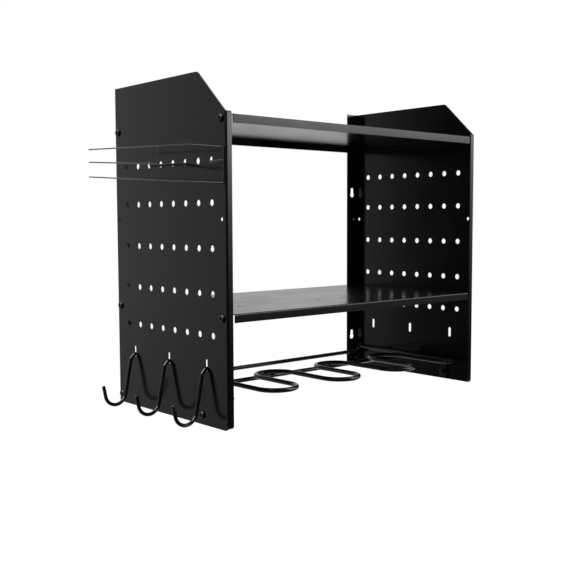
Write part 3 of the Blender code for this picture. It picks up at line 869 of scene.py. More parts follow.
    def build(self, tree: Perforation) -> bpy.types.Object:
        """Make the panel and put it on the frame.

        Args:
            tree: The perforation tree.

        Returns:
            The panel.
        """
        node = self.side.name.lower() + "_side_panel"
        shape = bmesh.new()
        add_prism(shape, self.section(), Axis.Z, LAYOUT.bottom, LAYOUT.top)
        item = new_object(node + "_sheet", shape)
        cuts = bmesh.new()
        self.outline_cuts(cuts)
        self.slot_cuts(cuts)
        self.keyhole_cuts(cuts)
        cutter = carve(item, cuts)
        spots, bores = self.holes()
        points = new_points("hole_centres", spots, {"bore": bores}, {"aim": [(1, 0, 0)] * len(spots)})
        tree.attach(item, Holes=points, Sides=LAYOUT.hole_sides, Reach=self.punch_reach,
                    Material=self.finish.material())
        ease_edges(item, self.eased)
        return fit(settle(item, cutter, points), BODY, self.finish.slot, node)


@dataclass
class Shelf:
    """One shelf: a flat floor with four lips folded down and an open seam at each back corner."""

    level: Level
    finish: Finish
    bend: float = 1.6 * MM
    bend_steps: int = 6
    inner_bend_steps: int = 3
    lip_end: float = 210.6 * MM
    floor_hole: float = 5 * MM
    floor_holes_x: Pair = (22 * MM, 153 * MM)
    floor_holes_y: float = -167 * MM
    seam: float = 0.5 * MM
    punch_reach: float = 4 * MM
    eased: float = 0.15 * MM

    @property
    def height(self) -> float:
        """The shelf's upper face."""
        return LAYOUT.shelf_tops[0 if self.level is Level.TOP else 1]

    def tray(self, half: float, low: float) -> bmesh.types.BMesh:
        """Return the tray's outer form, a block with its upper edges rolled over.

        Args:
            half: Half its width.
            low: The lips' lower edge.

        Returns:
            The block.
        """
        shape = bmesh.new()
        outline = rectangle(-half, half, -LAYOUT.depth, -LAYOUT.sheet - TOUCH)
        add_prism(shape, outline, Axis.Z, low, self.height)
        middle = (low + self.height) / 2
        folds = [edge for edge in shape.edges if max(vert.co.z for vert in edge.verts) > middle]
        bmesh.ops.bevel(shape, geom=folds, offset=self.bend, segments=self.bend_steps, profile=0.5,
                        affect="EDGES")
        return shape

    def hollow(self, half: float, low: float) -> bmesh.types.BMesh:
        """Return the space under the floor, between the lips.

        Args:
            half: Half the tray's width.
            low: The lips' lower edge.

        Returns:
            The solid to cut away.
        """
        sheet = LAYOUT.shelf_sheet
        shape = bmesh.new()
        inside = rectangle(-half + sheet, half - sheet, -LAYOUT.depth + sheet, -LAYOUT.sheet - TOUCH - sheet)
        add_prism(shape, inside, Axis.Z, low - OVERRUN, self.height - sheet)
        roof = [edge for edge in shape.edges if min(vert.co.z for vert in edge.verts) > low]
        bmesh.ops.bevel(shape, geom=roof, offset=self.bend - sheet, segments=self.inner_bend_steps,
                        profile=0.5, affect="EDGES")
        return shape

    def trims(self, half: float, low: float) -> bmesh.types.BMesh:
        """Return the notches beside the panels' flanges and the seams between the lips.

        Args:
            half: Half the tray's width.
            low: The lips' lower edge.

        Returns:
            The solids to cut away.
        """
        shape = bmesh.new()
        clear = -LAYOUT.depth + LAYOUT.sheet + TOUCH
        seam_top = self.height - self.bend
        back = -LAYOUT.sheet - TOUCH
        for sign in (-1, 1):
            across = sorted((sign * self.lip_end, sign * (half + OVERRUN)))
            add_prism(shape, rectangle(*across, -LAYOUT.depth - OVERRUN, clear), Axis.Z,
                      low - OVERRUN, self.height + OVERRUN)
            seam = sorted((sign * (half - LAYOUT.shelf_sheet),
                           sign * (half - LAYOUT.shelf_sheet - self.seam)))
            add_prism(shape, rectangle(*seam, back - 2 * LAYOUT.shelf_sheet, back + OVERRUN), Axis.Z,
                      low - OVERRUN, seam_top)
        return shape

    def build(self, tree: Perforation) -> bpy.types.Object:
        """Make the shelf and put it on the frame.

        Args:
            tree: The perforation tree.

        Returns:
            The shelf.
        """
        half = LAYOUT.inner_face - TOUCH
        low = self.height - LAYOUT.lip
        item = new_object(self.level.value + "_tray", self.tray(half, low))
        cutters = [carve(item, self.hollow(half, low)), carve(item, self.trims(half, low))]
        spots, bores, aims = [], [], []
        for sign in (-1, 1):
            for depth in (LAYOUT.front_bolt, LAYOUT.back_bolt):
                spots.append((sign * (half - LAYOUT.shelf_sheet / 2), depth, self.height - LAYOUT.lip / 2))
                bores.append(LAYOUT.bolt_hole)
                aims.append((1, 0, 0))
            for across in self.floor_holes_x:
                spots.append((sign * across, self.floor_holes_y, self.height - LAYOUT.shelf_sheet / 2))
                bores.append(self.floor_hole)
                aims.append((0, 0, 1))
        points = new_points("hole_centres", spots, {"bore": bores}, {"aim": aims})
        tree.attach(item, Holes=points, Sides=LAYOUT.hole_sides, Reach=self.punch_reach,
                    Material=self.finish.material())
        ease_edges(item, self.eased)
        return fit(settle(item, *cutters, points), BODY, self.finish.slot, self.level.value)


@dataclass
class Hanger:
    """The hanger under the lower shelf: a waved rod, two straight rods, four flat tabs and their welds."""

    finish: Finish
    wire: float = 6 * MM
    wire_sides: int = 24
    height: float = -253 * MM
    slots: int = 4
    slot_width: float = 50 * MM
    front: float = -209 * MM
    closed_end: float = -94 * MM
    rear_rod: float = -14 * MM
    side_run: float = 213.9 * MM
    bend_steps: int = 16
    bend_share: float = 0.9999
    tab_face: float = 217.2 * MM
    tab_low: float = -280 * MM
    tab_high: float = -248 * MM
    tab_corner: float = 2 * MM
    tab_corner_steps: int = 8
    tab_widths: Pair = (14 * MM, 11.6 * MM)
    tab_eased: float = 0.25 * MM
    wave_weld: Triple = (6 * MM, 2.6 * MM, 1.5 * MM)
    side_weld: Triple = (3.3 * MM, 3.3 * MM, 1.9 * MM)
    tab_weld: Pair = (1.5 * MM, 2.4 * MM)
    tab_weld_halves: Pair = (6 * MM, 4.6 * MM)
    weld_segments: int = 20
    weld_ripple: float = 0.25 * MM
    weld_seed: int = 4

    @property
    def cross_height(self) -> float:
        """The axis of the two straight rods, under the waved rod."""
        return self.height - self.wire - TOUCH

    @property
    def slot_centres(self) -> list[float]:
        """The middles of the open slots across the width."""
        pitch = 2 * LAYOUT.inner_face / self.slots
        return [-LAYOUT.inner_face + pitch * (index + 0.5) for index in range(self.slots)]

    def wave(self) -> WirePath:
        """Return the waved rod's path, from its left rear end to its right rear end.

        Returns:
            The path, each bend a hair under half of its straight, so that no two bends meet.
        """
        half = (self.slot_width + self.wire) / 2
        centres = self.slot_centres
        finger = (centres[1] - centres[0]) / 2 - half
        rear = -LAYOUT.sheet - TOUCH
        end_bend = (self.side_run + centres[0] - half) / 2
        corners, radii = [(-self.side_run, rear), (-self.side_run, self.front)], [0, end_bend]
        for index, centre in enumerate(centres):
            corners += [(centre - half, self.front), (centre - half, self.closed_end),
                        (centre + half, self.closed_end), (centre + half, self.front)]
            radii += [end_bend if index == 0 else finger, half, half,
                      end_bend if index == self.slots - 1 else finger]
        corners += [(self.side_run, self.front), (self.side_run, rear)]
        radii += [end_bend, 0]
        return WirePath([(across, depth, self.height) for across, depth in corners],
                        [radius * self.bend_share for radius in radii], self.wire,
                        sides=self.wire_sides, bend_steps=self.bend_steps)

    def tab(self, side: Side, end: End) -> bpy.types.Object:
        """Make one tab and put it on the frame.

        Args:
            side: The panel that it is bolted to.
            end: The end of that side.

        Returns:
            The tab.
        """
        front = end is End.FRONT
        depth = LAYOUT.hanger_bolt[0] if front else LAYOUT.back_bolt
        half = self.tab_widths[0 if front else 1] / 2
        corners = rectangle(depth - half, depth + half, self.tab_low, self.tab_high)
        outline = rounded_outline(corners, [self.tab_corner] * len(corners), self.tab_corner_steps)
        across = sorted((side.value * self.tab_face, side.value * (self.tab_face + LAYOUT.tab_sheet)))
        shape = bmesh.new()
        add_prism(shape, outline, Axis.X, *across)
        node = f"hanger_tab_{end.value}_{side.name.lower()}"
        item = new_object(node + "_plate", shape)
        cuts = bmesh.new()
        hole = polygon((depth, LAYOUT.hanger_bolt[1]), LAYOUT.bolt_hole / 2, LAYOUT.hole_sides)
        add_prism(cuts, hole, Axis.X, across[0] - OVERRUN, across[1] + OVERRUN)
        cutter = carve(item, cuts)
        ease_edges(item, self.tab_eased)
        item.data.materials.append(self.finish.material())
        return fit(settle(item, cutter), BODY, self.finish.slot, node)

    def weld_spots(self) -> tuple[list, list]:
        """Return where rods meet rods and tabs.

        Returns:
            The middles and half sizes of the weld beads.
        """
        contact = self.height - (self.wire + TOUCH) / 2
        spots = [(centre, self.closed_end, contact) for centre in self.slot_centres]
        halves = [self.wave_weld] * len(spots)
        thick, tall = self.tab_weld
        for sign in (-1, 1):
            for depth in (self.closed_end, self.rear_rod):
                spots.append((sign * self.side_run, depth, contact))
                halves.append(self.side_weld)
            for depth, half in zip((LAYOUT.hanger_bolt[0], LAYOUT.back_bolt), self.tab_weld_halves):
                spots.append((sign * (self.tab_face - TOUCH / 2), depth, self.height))
                halves.append((thick, half, tall))
        return spots, halves

    def build(self, wires: BentWire, welds: WeldBeads) -> list[bpy.types.Object]:
        """Make the whole hanger and put it on the frame.

        Args:
            wires: The bent wire tree.
            welds: The weld bead tree.

        Returns:
            The hanger's pieces.
        """
        wave = self.wave().build("waved_hanger_rod", wires, self.finish)
        pieces = [fit(wave, BODY, self.finish.slot, "hanger_wave_rod")]
        half = self.tab_face - TOUCH
        for name, depth in (("cross", self.closed_end), ("rear", self.rear_rod)):
            corners = [(across, depth, self.cross_height) for across in (-half, 0, half)]
            path = WirePath(corners, [0] * len(corners), self.wire, sides=self.wire_sides)
            rod = path.build(f"straight_{name}_rod", wires, self.finish)
            pieces.append(fit(rod, BODY, self.finish.slot, f"hanger_{name}_rod"))
        for side in Side:
            pieces += [self.tab(side, end) for end in End]
        spots, halves = self.weld_spots()
        beads = welds.lay("hanger_welds", spots, halves, BODY, self.finish, Segments=self.weld_segments,
                          Ripple=self.weld_ripple, Seed=self.weld_seed)
        return pieces + [beads]


@dataclass
class Hook:
    """One hook: a bent wire that hangs in a slot of the left panel."""

    place: HookPlace
    depth: float
    finish: Finish
    wire: float = 4.5 * MM
    seat_gap: float = 1 * MM
    tail_top: float = -200 * MM
    tail_bend: float = 3 * MM
    shoulder_out: float = 1.2 * MM
    shoulder: Pair = (5.1 * MM, 5.3 * MM)
    shoulder_bend: float = 3 * MM
    leg: float = 45 * MM
    leg_lean: float = math.radians(11.2)
    cup: float = 14.5 * MM
    cup_parts: int = 30
    tip: float = 14.5 * MM
    tip_lean: float = math.radians(11.5)

    def path(self) -> WirePath:
        """Return the hook's path, from its tail behind the panel to its tip.

        Returns:
            The path, in the upright plane of its slot.
        """
        axis_z = LAYOUT.hook_slot_foot + self.seat_gap + self.wire / 2
        tail_x = -LAYOUT.inner_face + TOUCH + self.wire / 2
        shoulder_x = -LAYOUT.half_width - self.shoulder_out
        top = Vector((shoulder_x - self.shoulder[0], axis_z - self.shoulder[1]))
        fall = Vector((-math.sin(self.leg_lean), -math.cos(self.leg_lean)))
        aside = Vector((-math.cos(self.leg_lean), math.sin(self.leg_lean)))
        leg_end = top + fall * self.leg
        centre = leg_end + aside * self.cup
        flat = [(tail_x, self.tail_top), (tail_x, axis_z), (shoulder_x, axis_z), tuple(top), tuple(leg_end)]
        radii = [0, self.tail_bend, self.shoulder_bend, self.shoulder_bend, 0]
        sweep = math.pi - self.leg_lean - self.tip_lean
        for part in range(1, self.cup_parts + 1):
            angle = sweep * part / self.cup_parts
            flat.append(tuple(centre - aside * self.cup * math.cos(angle)
                              + fall * self.cup * math.sin(angle)))
        rise = Vector((-math.sin(self.tip_lean), math.cos(self.tip_lean)))
        flat.append(tuple(Vector(flat[-1]) + rise * self.tip))
        radii += [0] * (len(flat) - len(radii))
        return WirePath([(across, self.depth, height) for across, height in flat], radii, self.wire)

    def build(self, wires: BentWire) -> bpy.types.Object:
        """Make the hook, put it on the frame and return it."""
        item = self.path().build(f"bent_hook_{self.place.value}", wires, self.finish)
        return fit(item, f"hook_{self.place.value}", self.finish.slot, f"wrench_hook_{self.place.value}")


@dataclass
class SideRack:
    """The thin wire rack on the left panel: an open frame, a middle wire and two pegs."""

    finish: Finish
    body: str = "side_rack"
    wire: float = 1.6 * MM
    wire_sides: int = 16
    bend: float = 1.5 * MM
    far: float = -268.3 * MM
    near: float = -222.6 * MM
    ends: Pair = (-15.9 * MM, -228.2 * MM)
    top: float = 39.5 * MM
    tall: float = 33.5 * MM
    falls: Pair = (7.5 * MM, 13 * MM)
    middle_drop: float = 15.5 * MM
    middle_share: float = 0.72
    peg_wire: float = 3 * MM
    peg_columns: Pair = (-154.1 * MM, -204.9 * MM)
    peg_run: float = 22.2 * MM
    peg_seat: float = 17.05 * MM
    peg_tail: float = 27.75 * MM
    peg_bend_share: float = 0.999
    turn_weld: Triple = (1.1 * MM, 1.5 * MM, 0.8 * MM)
    back_peg_weld: Triple = (1.3 * MM, 1.3 * MM, 0.8 * MM)
    front_peg_weld: Triple = (1 * MM, 1.3 * MM, 1.7 * MM)
    weld_segments: int = 14
    weld_ripple: float = 0.15 * MM
    weld_seed: int = 9

    @property
    def turn(self) -> float:
        """Where the middle wire turns up to the top wire."""
        back, front = self.ends
        return back + self.middle_share * (front - back)

    @property
    def peg_outside(self) -> float:
        """The axis of the pegs outside the panel."""
        return -LAYOUT.half_width - TOUCH - self.peg_wire / 2

    def slope(self, fall: float, depth: float) -> float:
        """Return how far a wire has come down at a depth, from its rear end on."""
        back, front = self.ends
        return fall * (back - depth) / (back - front)

    def middle_height(self, depth: float) -> float:
        """Return the axis height of the middle wire at a depth."""
        return self.top - self.middle_drop - self.slope(self.falls[1], depth)

    def frame_path(self) -> WirePath:
        """Return the open frame's path: out along the top, round the front and back along the bottom.

        Returns:
            The path.
        """
        back, front = self.ends
        low, (top_fall, low_fall) = self.top - self.tall, self.falls
        corners = [(self.far, back, self.top), (self.far, front, self.top - top_fall),
                   (self.near, front, self.top - top_fall), (self.near, front, low - low_fall),
                   (self.far, front, low - low_fall), (self.far, back, low)]
        radii = [0] + [self.bend] * (len(corners) - 2) + [0]
        return WirePath(corners, radii, self.wire, sides=self.wire_sides)

    def middle_path(self) -> WirePath:
        """Return the middle wire's path: forward from its free rear end, then up to the top wire.

        Returns:
            The path.
        """
        back = self.ends[0]
        under_top = self.top - self.slope(self.falls[0], self.turn) - self.wire - TOUCH
        corners = [(self.far, back, self.middle_height(back)),
                   (self.far, self.turn, self.middle_height(self.turn)), (self.far, self.turn, under_top)]
        return WirePath(corners, [0, self.bend, 0], self.wire, sides=self.wire_sides)

    def peg_path(self, column: float, end: Triple) -> WirePath:
        """Return a peg's path, from its tail behind the panel, through its hole and on to its end.

        Args:
            column: The depth of its peg hole.
            end: Where it stops at the frame or under the middle wire.

        Returns:
            The path, its two bends a hair under half of the run between them.
        """
        inside = -LAYOUT.inner_face + TOUCH + self.peg_wire / 2
        bend = (inside - self.peg_outside) / 2 * self.peg_bend_share
        corners = [(inside, column, self.peg_tail), (inside, column, self.peg_seat),
                   (self.peg_outside, column, self.peg_seat), end]
        return WirePath(corners, [0, bend, bend, 0], self.peg_wire, sides=self.wire_sides)

    def build(self, wires: BentWire, welds: WeldBeads) -> list[bpy.types.Object]:
        """Make the rack and put it on the frame.

        Args:
            wires: The bent wire tree.
            welds: The weld bead tree.

        Returns:
            The rack's pieces.
        """
        back_column, front_column = self.peg_columns
        under_middle = self.middle_height(back_column) - self.wire / 2 - TOUCH / 2
        back_end = (self.far - self.wire / 2, back_column, under_middle - (TOUCH + self.peg_wire) / 2)
        front_end = (self.peg_outside, front_column - self.peg_run, self.peg_seat)
        paths = {"rack_frame": self.frame_path(), "rack_middle_wire": self.middle_path(),
                 "rack_peg_back": self.peg_path(back_column, back_end),
                 "rack_peg_front": self.peg_path(front_column, front_end)}
        pieces = [fit(path.build(node.replace("rack", "wire_rack"), wires, self.finish),
                      self.body, self.finish.slot, node) for node, path in paths.items()]
        under_top = self.top - self.slope(self.falls[0], self.turn) - (self.wire + TOUCH) / 2
        spots = [(self.far, self.turn, under_top), (self.far, back_column, under_middle),
                 (self.near, self.ends[1], self.peg_seat)]
        halves = [self.turn_weld, self.back_peg_weld, self.front_peg_weld]
        beads = welds.lay("rack_welds", spots, halves, self.body, self.finish, Segments=self.weld_segments,
                          Ripple=self.weld_ripple, Seed=self.weld_seed)
        return pieces + [beads]


@dataclass
class Fasteners:
    """The button head bolts and hexagon nuts of the shelves and the hanger."""

    finish: Finish
    thread: float = 4 * MM
    thread_pitch: float = 0.7 * MM
    thread_depth: float = 0.4 * MM
    thread_shares: tuple[float, ...] = (0.35, 0.5, 0.85, 1.0)
    tip_step: float = 0.3 * MM
    neck: float = 0.5 * MM
    shelf_length: float = 8 * MM
    hanger_length: float = 10 * MM
    head: float = 9.4 * MM
    head_height: float = 2.2 * MM
    head_edge: float = 0.1 * MM
    rim: float = 0.44 * MM
    dome_share: float = 0.42
    dome_steps: int = 9
    flat_share: float = 0.5
    socket: float = 2.5 * MM
    socket_depth: float = 1.3 * MM
    nut_flats: float = 7 * MM
    nut_height: float = 3.2 * MM
    cone_angle: float = math.radians(30)
    cone_overrun: float = 1 * MM
    eased: float = 0.08 * MM
    sides: int = 32
    seed: int = 7

    def lathe(self, profile: list[Pair]) -> bmesh.types.BMesh:
        """Turn a profile of height and radius about the Z axis.

        Args:
            profile: Heights and radii, both ends on the axis.

        Returns:
            The closed shape.
        """
        if profile[0][1] or profile[-1][1]:
            raise ValueError("a turned profile starts and ends on its axis")
        shape = bmesh.new()
        rings = []
        for height, radius in profile:
            count = self.sides if radius else 1
            rings.append([shape.verts.new((radius * math.cos(2 * math.pi * step / self.sides),
                                           radius * math.sin(2 * math.pi * step / self.sides), height))
                          for step in range(count)])
        for ring, after in zip(rings, rings[1:]):
            for index in range(self.sides):
                beyond = (index + 1) % self.sides
                corners = [ring[index % len(ring)], ring[beyond % len(ring)],
                           after[beyond % len(after)], after[index % len(after)]]
                shape.faces.new(list(dict.fromkeys(corners)))
        bmesh.ops.recalc_face_normals(shape, faces=shape.faces)
        return shape

    def bolt(self, length: float) -> bpy.types.Object:
        """Make one bolt: its seat at z = 0, its head up, its thread down.

        Args:
            length: From its seat to its tip.

        Returns:
            The bolt, to be repeated.
        """
        radius, root = self.thread / 2, self.thread / 2 - self.thread_depth
        height = -length + self.thread_depth
        profile = [(-length, 0), (-length, root - self.tip_step), (height, root)]
        while height + self.thread_pitch < -self.neck:
            profile += [(height + share * self.thread_pitch, width)
                        for share, width in zip(self.thread_shares, (radius, radius, root, root))]
            height += self.thread_pitch
        half = self.head / 2
        profile += [(0, root), (0, half - self.head_edge), (self.head_edge, half), (self.rim, half)]
        for step in range(1, self.dome_steps):
            turn = math.pi / 2 * step / self.dome_steps
            profile.append((self.rim + (self.head_height - self.rim) * math.sin(turn),
                            half * (1 - self.dome_share * (1 - math.cos(turn)))))
        profile += [(self.head_height, half * self.flat_share), (self.head_height, 0)]
        item = new_object("bolt_pattern", self.lathe(profile))
        cuts = bmesh.new()
        hexagon = polygon((0, 0), self.socket / math.sqrt(3), 6)
        add_prism(cuts, hexagon, Axis.Z, self.head_height - self.socket_depth, self.head_height + OVERRUN)
        cutter = carve(item, cuts)
        ease_edges(item, self.eased)
        return settle(item, cutter)

    def nut(self) -> bpy.types.Object:
        """Make one nut: its seat at z = 0, its body up, its corners turned off by a cone.

        Returns:
            The nut, to be repeated.
        """
        corner = self.nut_flats / math.sqrt(3)
        shape = bmesh.new()
        add_prism(shape, polygon((0, 0), corner, 6, math.pi / 6), Axis.Z, 0, self.nut_height)
        item = new_object("nut_pattern", shape)
        slope = math.tan(self.cone_angle)
        ease = (corner - self.nut_flats / 2) * slope
        rise = self.cone_overrun * slope
        wide = corner + self.cone_overrun
        narrow = self.nut_flats / 2 - self.cone_overrun
        profile = [(-rise, 0), (-rise, narrow), (ease, corner), (ease, wide),
                   (self.nut_height - ease, wide), (self.nut_height - ease, corner),
                   (self.nut_height + rise, narrow), (self.nut_height + rise, 0)]
        keep = new_object("nut_cone", self.lathe(profile))
        turned = item.modifiers.new("cone", "BOOLEAN")
        turned.operation = "INTERSECT"
        turned.solver = "EXACT"
        turned.object = keep
        cuts = bmesh.new()
        bore = polygon((0, 0), self.thread / 2 + TOUCH, self.sides)
        add_prism(cuts, bore, Axis.Z, -OVERRUN, self.nut_height + OVERRUN)
        cutter = carve(item, cuts)
        ease_edges(item, self.eased)
        return settle(item, keep, cutter)

    def row(self, fixing: Fixing, kind: Fastener, pattern: bpy.types.Object,
            tree: FastenerRow) -> bpy.types.Object:
        """Put one pattern at every place of its kind.

        Args:
            fixing: What the row holds.
            kind: Whether the pattern is a bolt or a nut.
            pattern: The fastener to repeat.
            tree: The fastener tree.

        Returns:
            The row as one plain mesh, on the frame.
        """
        is_nut = kind is Fastener.NUT
        stack = LAYOUT.shelf_sheet if fixing is Fixing.SHELF else LAYOUT.tab_sheet
        seat = LAYOUT.inner_face - TOUCH - stack - TOUCH if is_nut else LAYOUT.half_width + TOUCH
        spots, aims, nodes = [], [], []
        for side in Side:
            for place, (depth, height) in LAYOUT.bolt_places().items():
                if place.startswith("hanger") != (fixing is Fixing.HANGER):
                    continue
                spots.append((side.value * seat, depth, height))
                aims.append((-side.value if is_nut else side.value, 0, 0))
                nodes.append(f"{kind.value}_{place}_{side.name.lower()}")
        item = new_points(f"{fixing.value}_{kind.value}s", spots, vectors={"aim": aims})
        tree.attach(item, Fastener=pattern, Spin=0.0 if is_nut else 2 * math.pi, Seed=self.seed,
                    Material=self.finish.material())
        settle(item, pattern)
        return fit(item, BODY, self.finish.slot, *nodes)

    def build(self, tree: FastenerRow) -> list[bpy.types.Object]:
        """Make all bolts and nuts and put them on the frame.

        Args:
            tree: The fastener tree.

        Returns:
            The rows of bolts and nuts.
        """
        pieces = []
        for fixing, length in zip(Fixing, (self.shelf_length, self.hanger_length)):
            pieces.append(self.row(fixing, Fastener.BOLT, self.bolt(length), tree))
            pieces.append(self.row(fixing, Fastener.NUT, self.nut(), tree))
        return pieces


# Studio


@dataclass(frozen=True)
class Viewpoint:
    """The camera's place, turn and lens, solved from the photograph's straight edges and holes."""

    spot: Triple = (-0.81139, -0.99934, -0.04782)
    yaw: float = math.radians(41.517)
    pitch: float = math.radians(-4.418)
    roll: float = math.radians(-0.199)
    focal_pixels: float = 880.7
    frame_pixels: float = 576.0
    sensor: float = 36.0
    clip_start: float = 0.01

    def place(self) -> bpy.types.Object:
        """Make the camera and give it to the scene.

        Returns:
            The camera.
        """
        ahead = Vector((math.sin(self.yaw) * math.cos(self.pitch), math.cos(self.yaw) * math.cos(self.pitch),
                        math.sin(self.pitch)))
        right = Vector((math.cos(self.yaw), -math.sin(self.yaw), 0))
        up = right.cross(ahead)
        across = right * math.cos(self.roll) + up * math.sin(self.roll)
        upward = up * math.cos(self.roll) - right * math.sin(self.roll)
        data = bpy.data.cameras.new("photo_camera")
        data.sensor_width = self.sensor
        data.lens = self.focal_pixels / self.frame_pixels * self.sensor
        data.clip_start = self.clip_start
        camera = bpy.data.objects.new("photo_camera", data)
        bpy.context.scene.collection.objects.link(camera)
        turn = Matrix((across, upward, -ahead)).transposed().to_4x4()
        camera.matrix_world = Matrix.Translation(self.spot) @ turn
        bpy.context.scene.camera = camera
        return camera


@dataclass(frozen=True)
class Studio:
    """A pale floor, a white surround, a soft lamp and the greys of the room that the coat mirrors.

    Angles are degrees round the object from straight behind it, positive to the right. A rise is a
    direction's height, which is 1 straight up.
    """

    floor_height: float = -1.1
    floor_half: float = 5.0
    floor_colour: str = "#f4f4f4"
    floor_glow: float = 0.52
    ambient: float = 0.55
    half_turn: float = 180.0
    half_rise: float = 0.5
    side_greys: tuple[Pair, ...] = (
        (-180, 0.04), (-112, 0.04), (-104, 0.25), (-75, 0.35), (-60, 0.03), (-49.5, 0.01),
        (-47, 0.42), (-44, 0.42), (-38, 0.34), (-28, 0.5), (30, 0.76), (180, 0.6),
    )
    low_fade: Pair = (-0.2, -0.07)
    low_share: float = 0.75
    left_fade: Pair = (-0.1, -0.4)
    front_fade: Pair = (-0.1, -0.5)
    front_rise_greys: tuple[Pair, ...] = (
        (-0.5, 0.0), (-0.15, 0.003), (-0.1, 0.027), (-0.06, 0.062), (-0.02, 0.118), (0.02, 0.2),
        (0.08, 0.5), (0.11, 0.95), (0.5, 0.8),
    )
    front_angle_greys: tuple[Pair, ...] = (
        (-180, 0.02), (95, 0.02), (110, 0.6), (127, 0.68), (141, 1.0), (144, 1.0), (148, 0.08),
        (160, 0.02),
    )
    front_strength: float = 5.6
    high_box: Triple = (-0.606, 0.107, 0.788)
    high_fade: Pair = (0.88, 0.95)
    high_strength: float = 8.5
    lamp_spot: Triple = (1.3, -2.0, 1.9)
    lamp_aim: Triple = (0.0, 0.0, -0.1)
    lamp_size: Pair = (1.6, 1.2)
    lamp_power: float = 34.0

    def floor(self) -> bpy.types.Object:
        """Make the pale floor: white to the camera but for the object's shadow, clear to reflections.

        Returns:
            The floor.
        """
        shape = bmesh.new()
        half = self.floor_half
        shape.faces.new([shape.verts.new((*corner, self.floor_height))
                         for corner in rectangle(-half, half, -half, half)])
        item = new_object("studio_floor", shape)
        made = bpy.data.materials.new("matt_white_floor")
        made.use_nodes = True
        tree = made.node_tree
        tree.nodes.clear()
        rays = add_node(tree, "ShaderNodeLightPath").outputs
        matt = add_node(tree, "ShaderNodeBsdfDiffuse", {"Color": linear(self.floor_colour)})
        glow = add_node(tree, "ShaderNodeEmission", {"Color": (1, 1, 1, 1), "Strength": self.floor_glow})
        lit = add_node(tree, "ShaderNodeAddShader", {0: matt.outputs[0], 1: glow.outputs[0]})
        seen = add_node(tree, "ShaderNodeMixShader",
                        {0: rays["Is Camera Ray"], 1: matt.outputs[0], 2: lit.outputs[0]})
        clear = add_node(tree, "ShaderNodeBsdfTransparent")
        mirrored = add_node(tree, "ShaderNodeMixShader",
                            {0: rays["Is Glossy Ray"], 1: seen.outputs[0], 2: clear.outputs[0]})
        add_node(tree, "ShaderNodeOutputMaterial", {"Surface": mirrored.outputs[0]})
        item.data.materials.append(made)
        return item

    def spread(self, greys: tuple[Pair, ...], reach: float) -> list[Pair]:
        """Move a ramp's places from the range -reach to reach into the range 0 to 1."""
        return [((place + reach) / (2 * reach), grey) for place, grey in greys]

    def side_light(self, tree: bpy.types.NodeTree, parts: bpy.types.bpy_prop_collection,
                   ring: bpy.types.NodeSocket) -> bpy.types.NodeSocket:
        """Add the room behind and beside the object, with its low left shaded.

        Args:
            tree: The world's node tree.
            parts: The direction's X, Y and Z.
            ring: The angle round the object, from 0 to 1.

        Returns:
            The room's strength.
        """
        sweep = add_node(tree, "ShaderNodeValToRGB", {0: ring}, self.spread(self.side_greys, self.half_turn))
        low = add_node(tree, "ShaderNodeMapRange",
                       {"Value": parts["Z"], "From Min": self.low_fade[0], "From Max": self.low_fade[1],
                        "To Min": self.low_share})
        left = add_node(tree, "ShaderNodeMapRange",
                        {"Value": parts["X"], "From Min": self.left_fade[0], "From Max": self.left_fade[1]})
        fade = add_node(tree, "ShaderNodeMix", {0: left.outputs["Result"], 2: 1.0, 3: low.outputs["Result"]},
                        data_type="FLOAT")
        shaded = add_node(tree, "ShaderNodeMath", {0: sweep.outputs["Color"], 1: fade.outputs[0]},
                          operation="MULTIPLY")
        return shaded.outputs[0]

    def front_light(self, tree: bpy.types.NodeTree, parts: bpy.types.bpy_prop_collection,
                    ring: bpy.types.NodeSocket) -> bpy.types.NodeSocket:
        """Add the soft box in front on the right, brighter towards its top.

        Args:
            tree: The world's node tree.
            parts: The direction's X, Y and Z.
            ring: The angle round the object, from 0 to 1.

        Returns:
            The box's strength.
        """
        height = add_node(tree, "ShaderNodeMapRange",
                          {"Value": parts["Z"], "From Min": -self.half_rise, "From Max": self.half_rise})
        upright = add_node(tree, "ShaderNodeValToRGB", {0: height.outputs["Result"]},
                           self.spread(self.front_rise_greys, self.half_rise))
        aside = add_node(tree, "ShaderNodeValToRGB", {0: ring},
                         self.spread(self.front_angle_greys, self.half_turn))
        strong = add_node(tree, "ShaderNodeMath", {0: upright.outputs["Color"], 1: self.front_strength},
                          operation="MULTIPLY")
        box = add_node(tree, "ShaderNodeMath", {0: strong.outputs[0], 1: aside.outputs["Color"]},
                       operation="MULTIPLY")
        return box.outputs[0]

    def high_light(self, tree: bpy.types.NodeTree, way: bpy.types.NodeSocket) -> bpy.types.NodeSocket:
        """Add the soft box high on the left.

        Args:
            tree: The world's node tree.
            way: The direction.

        Returns:
            The box's strength.
        """
        toward = add_node(tree, "ShaderNodeVectorMath", {0: way, 1: self.high_box}, operation="DOT_PRODUCT")
        patch = add_node(tree, "ShaderNodeMapRange",
                         {"Value": toward.outputs["Value"], "From Min": self.high_fade[0],
                          "From Max": self.high_fade[1], "To Max": self.high_strength})
        return patch.outputs["Result"]

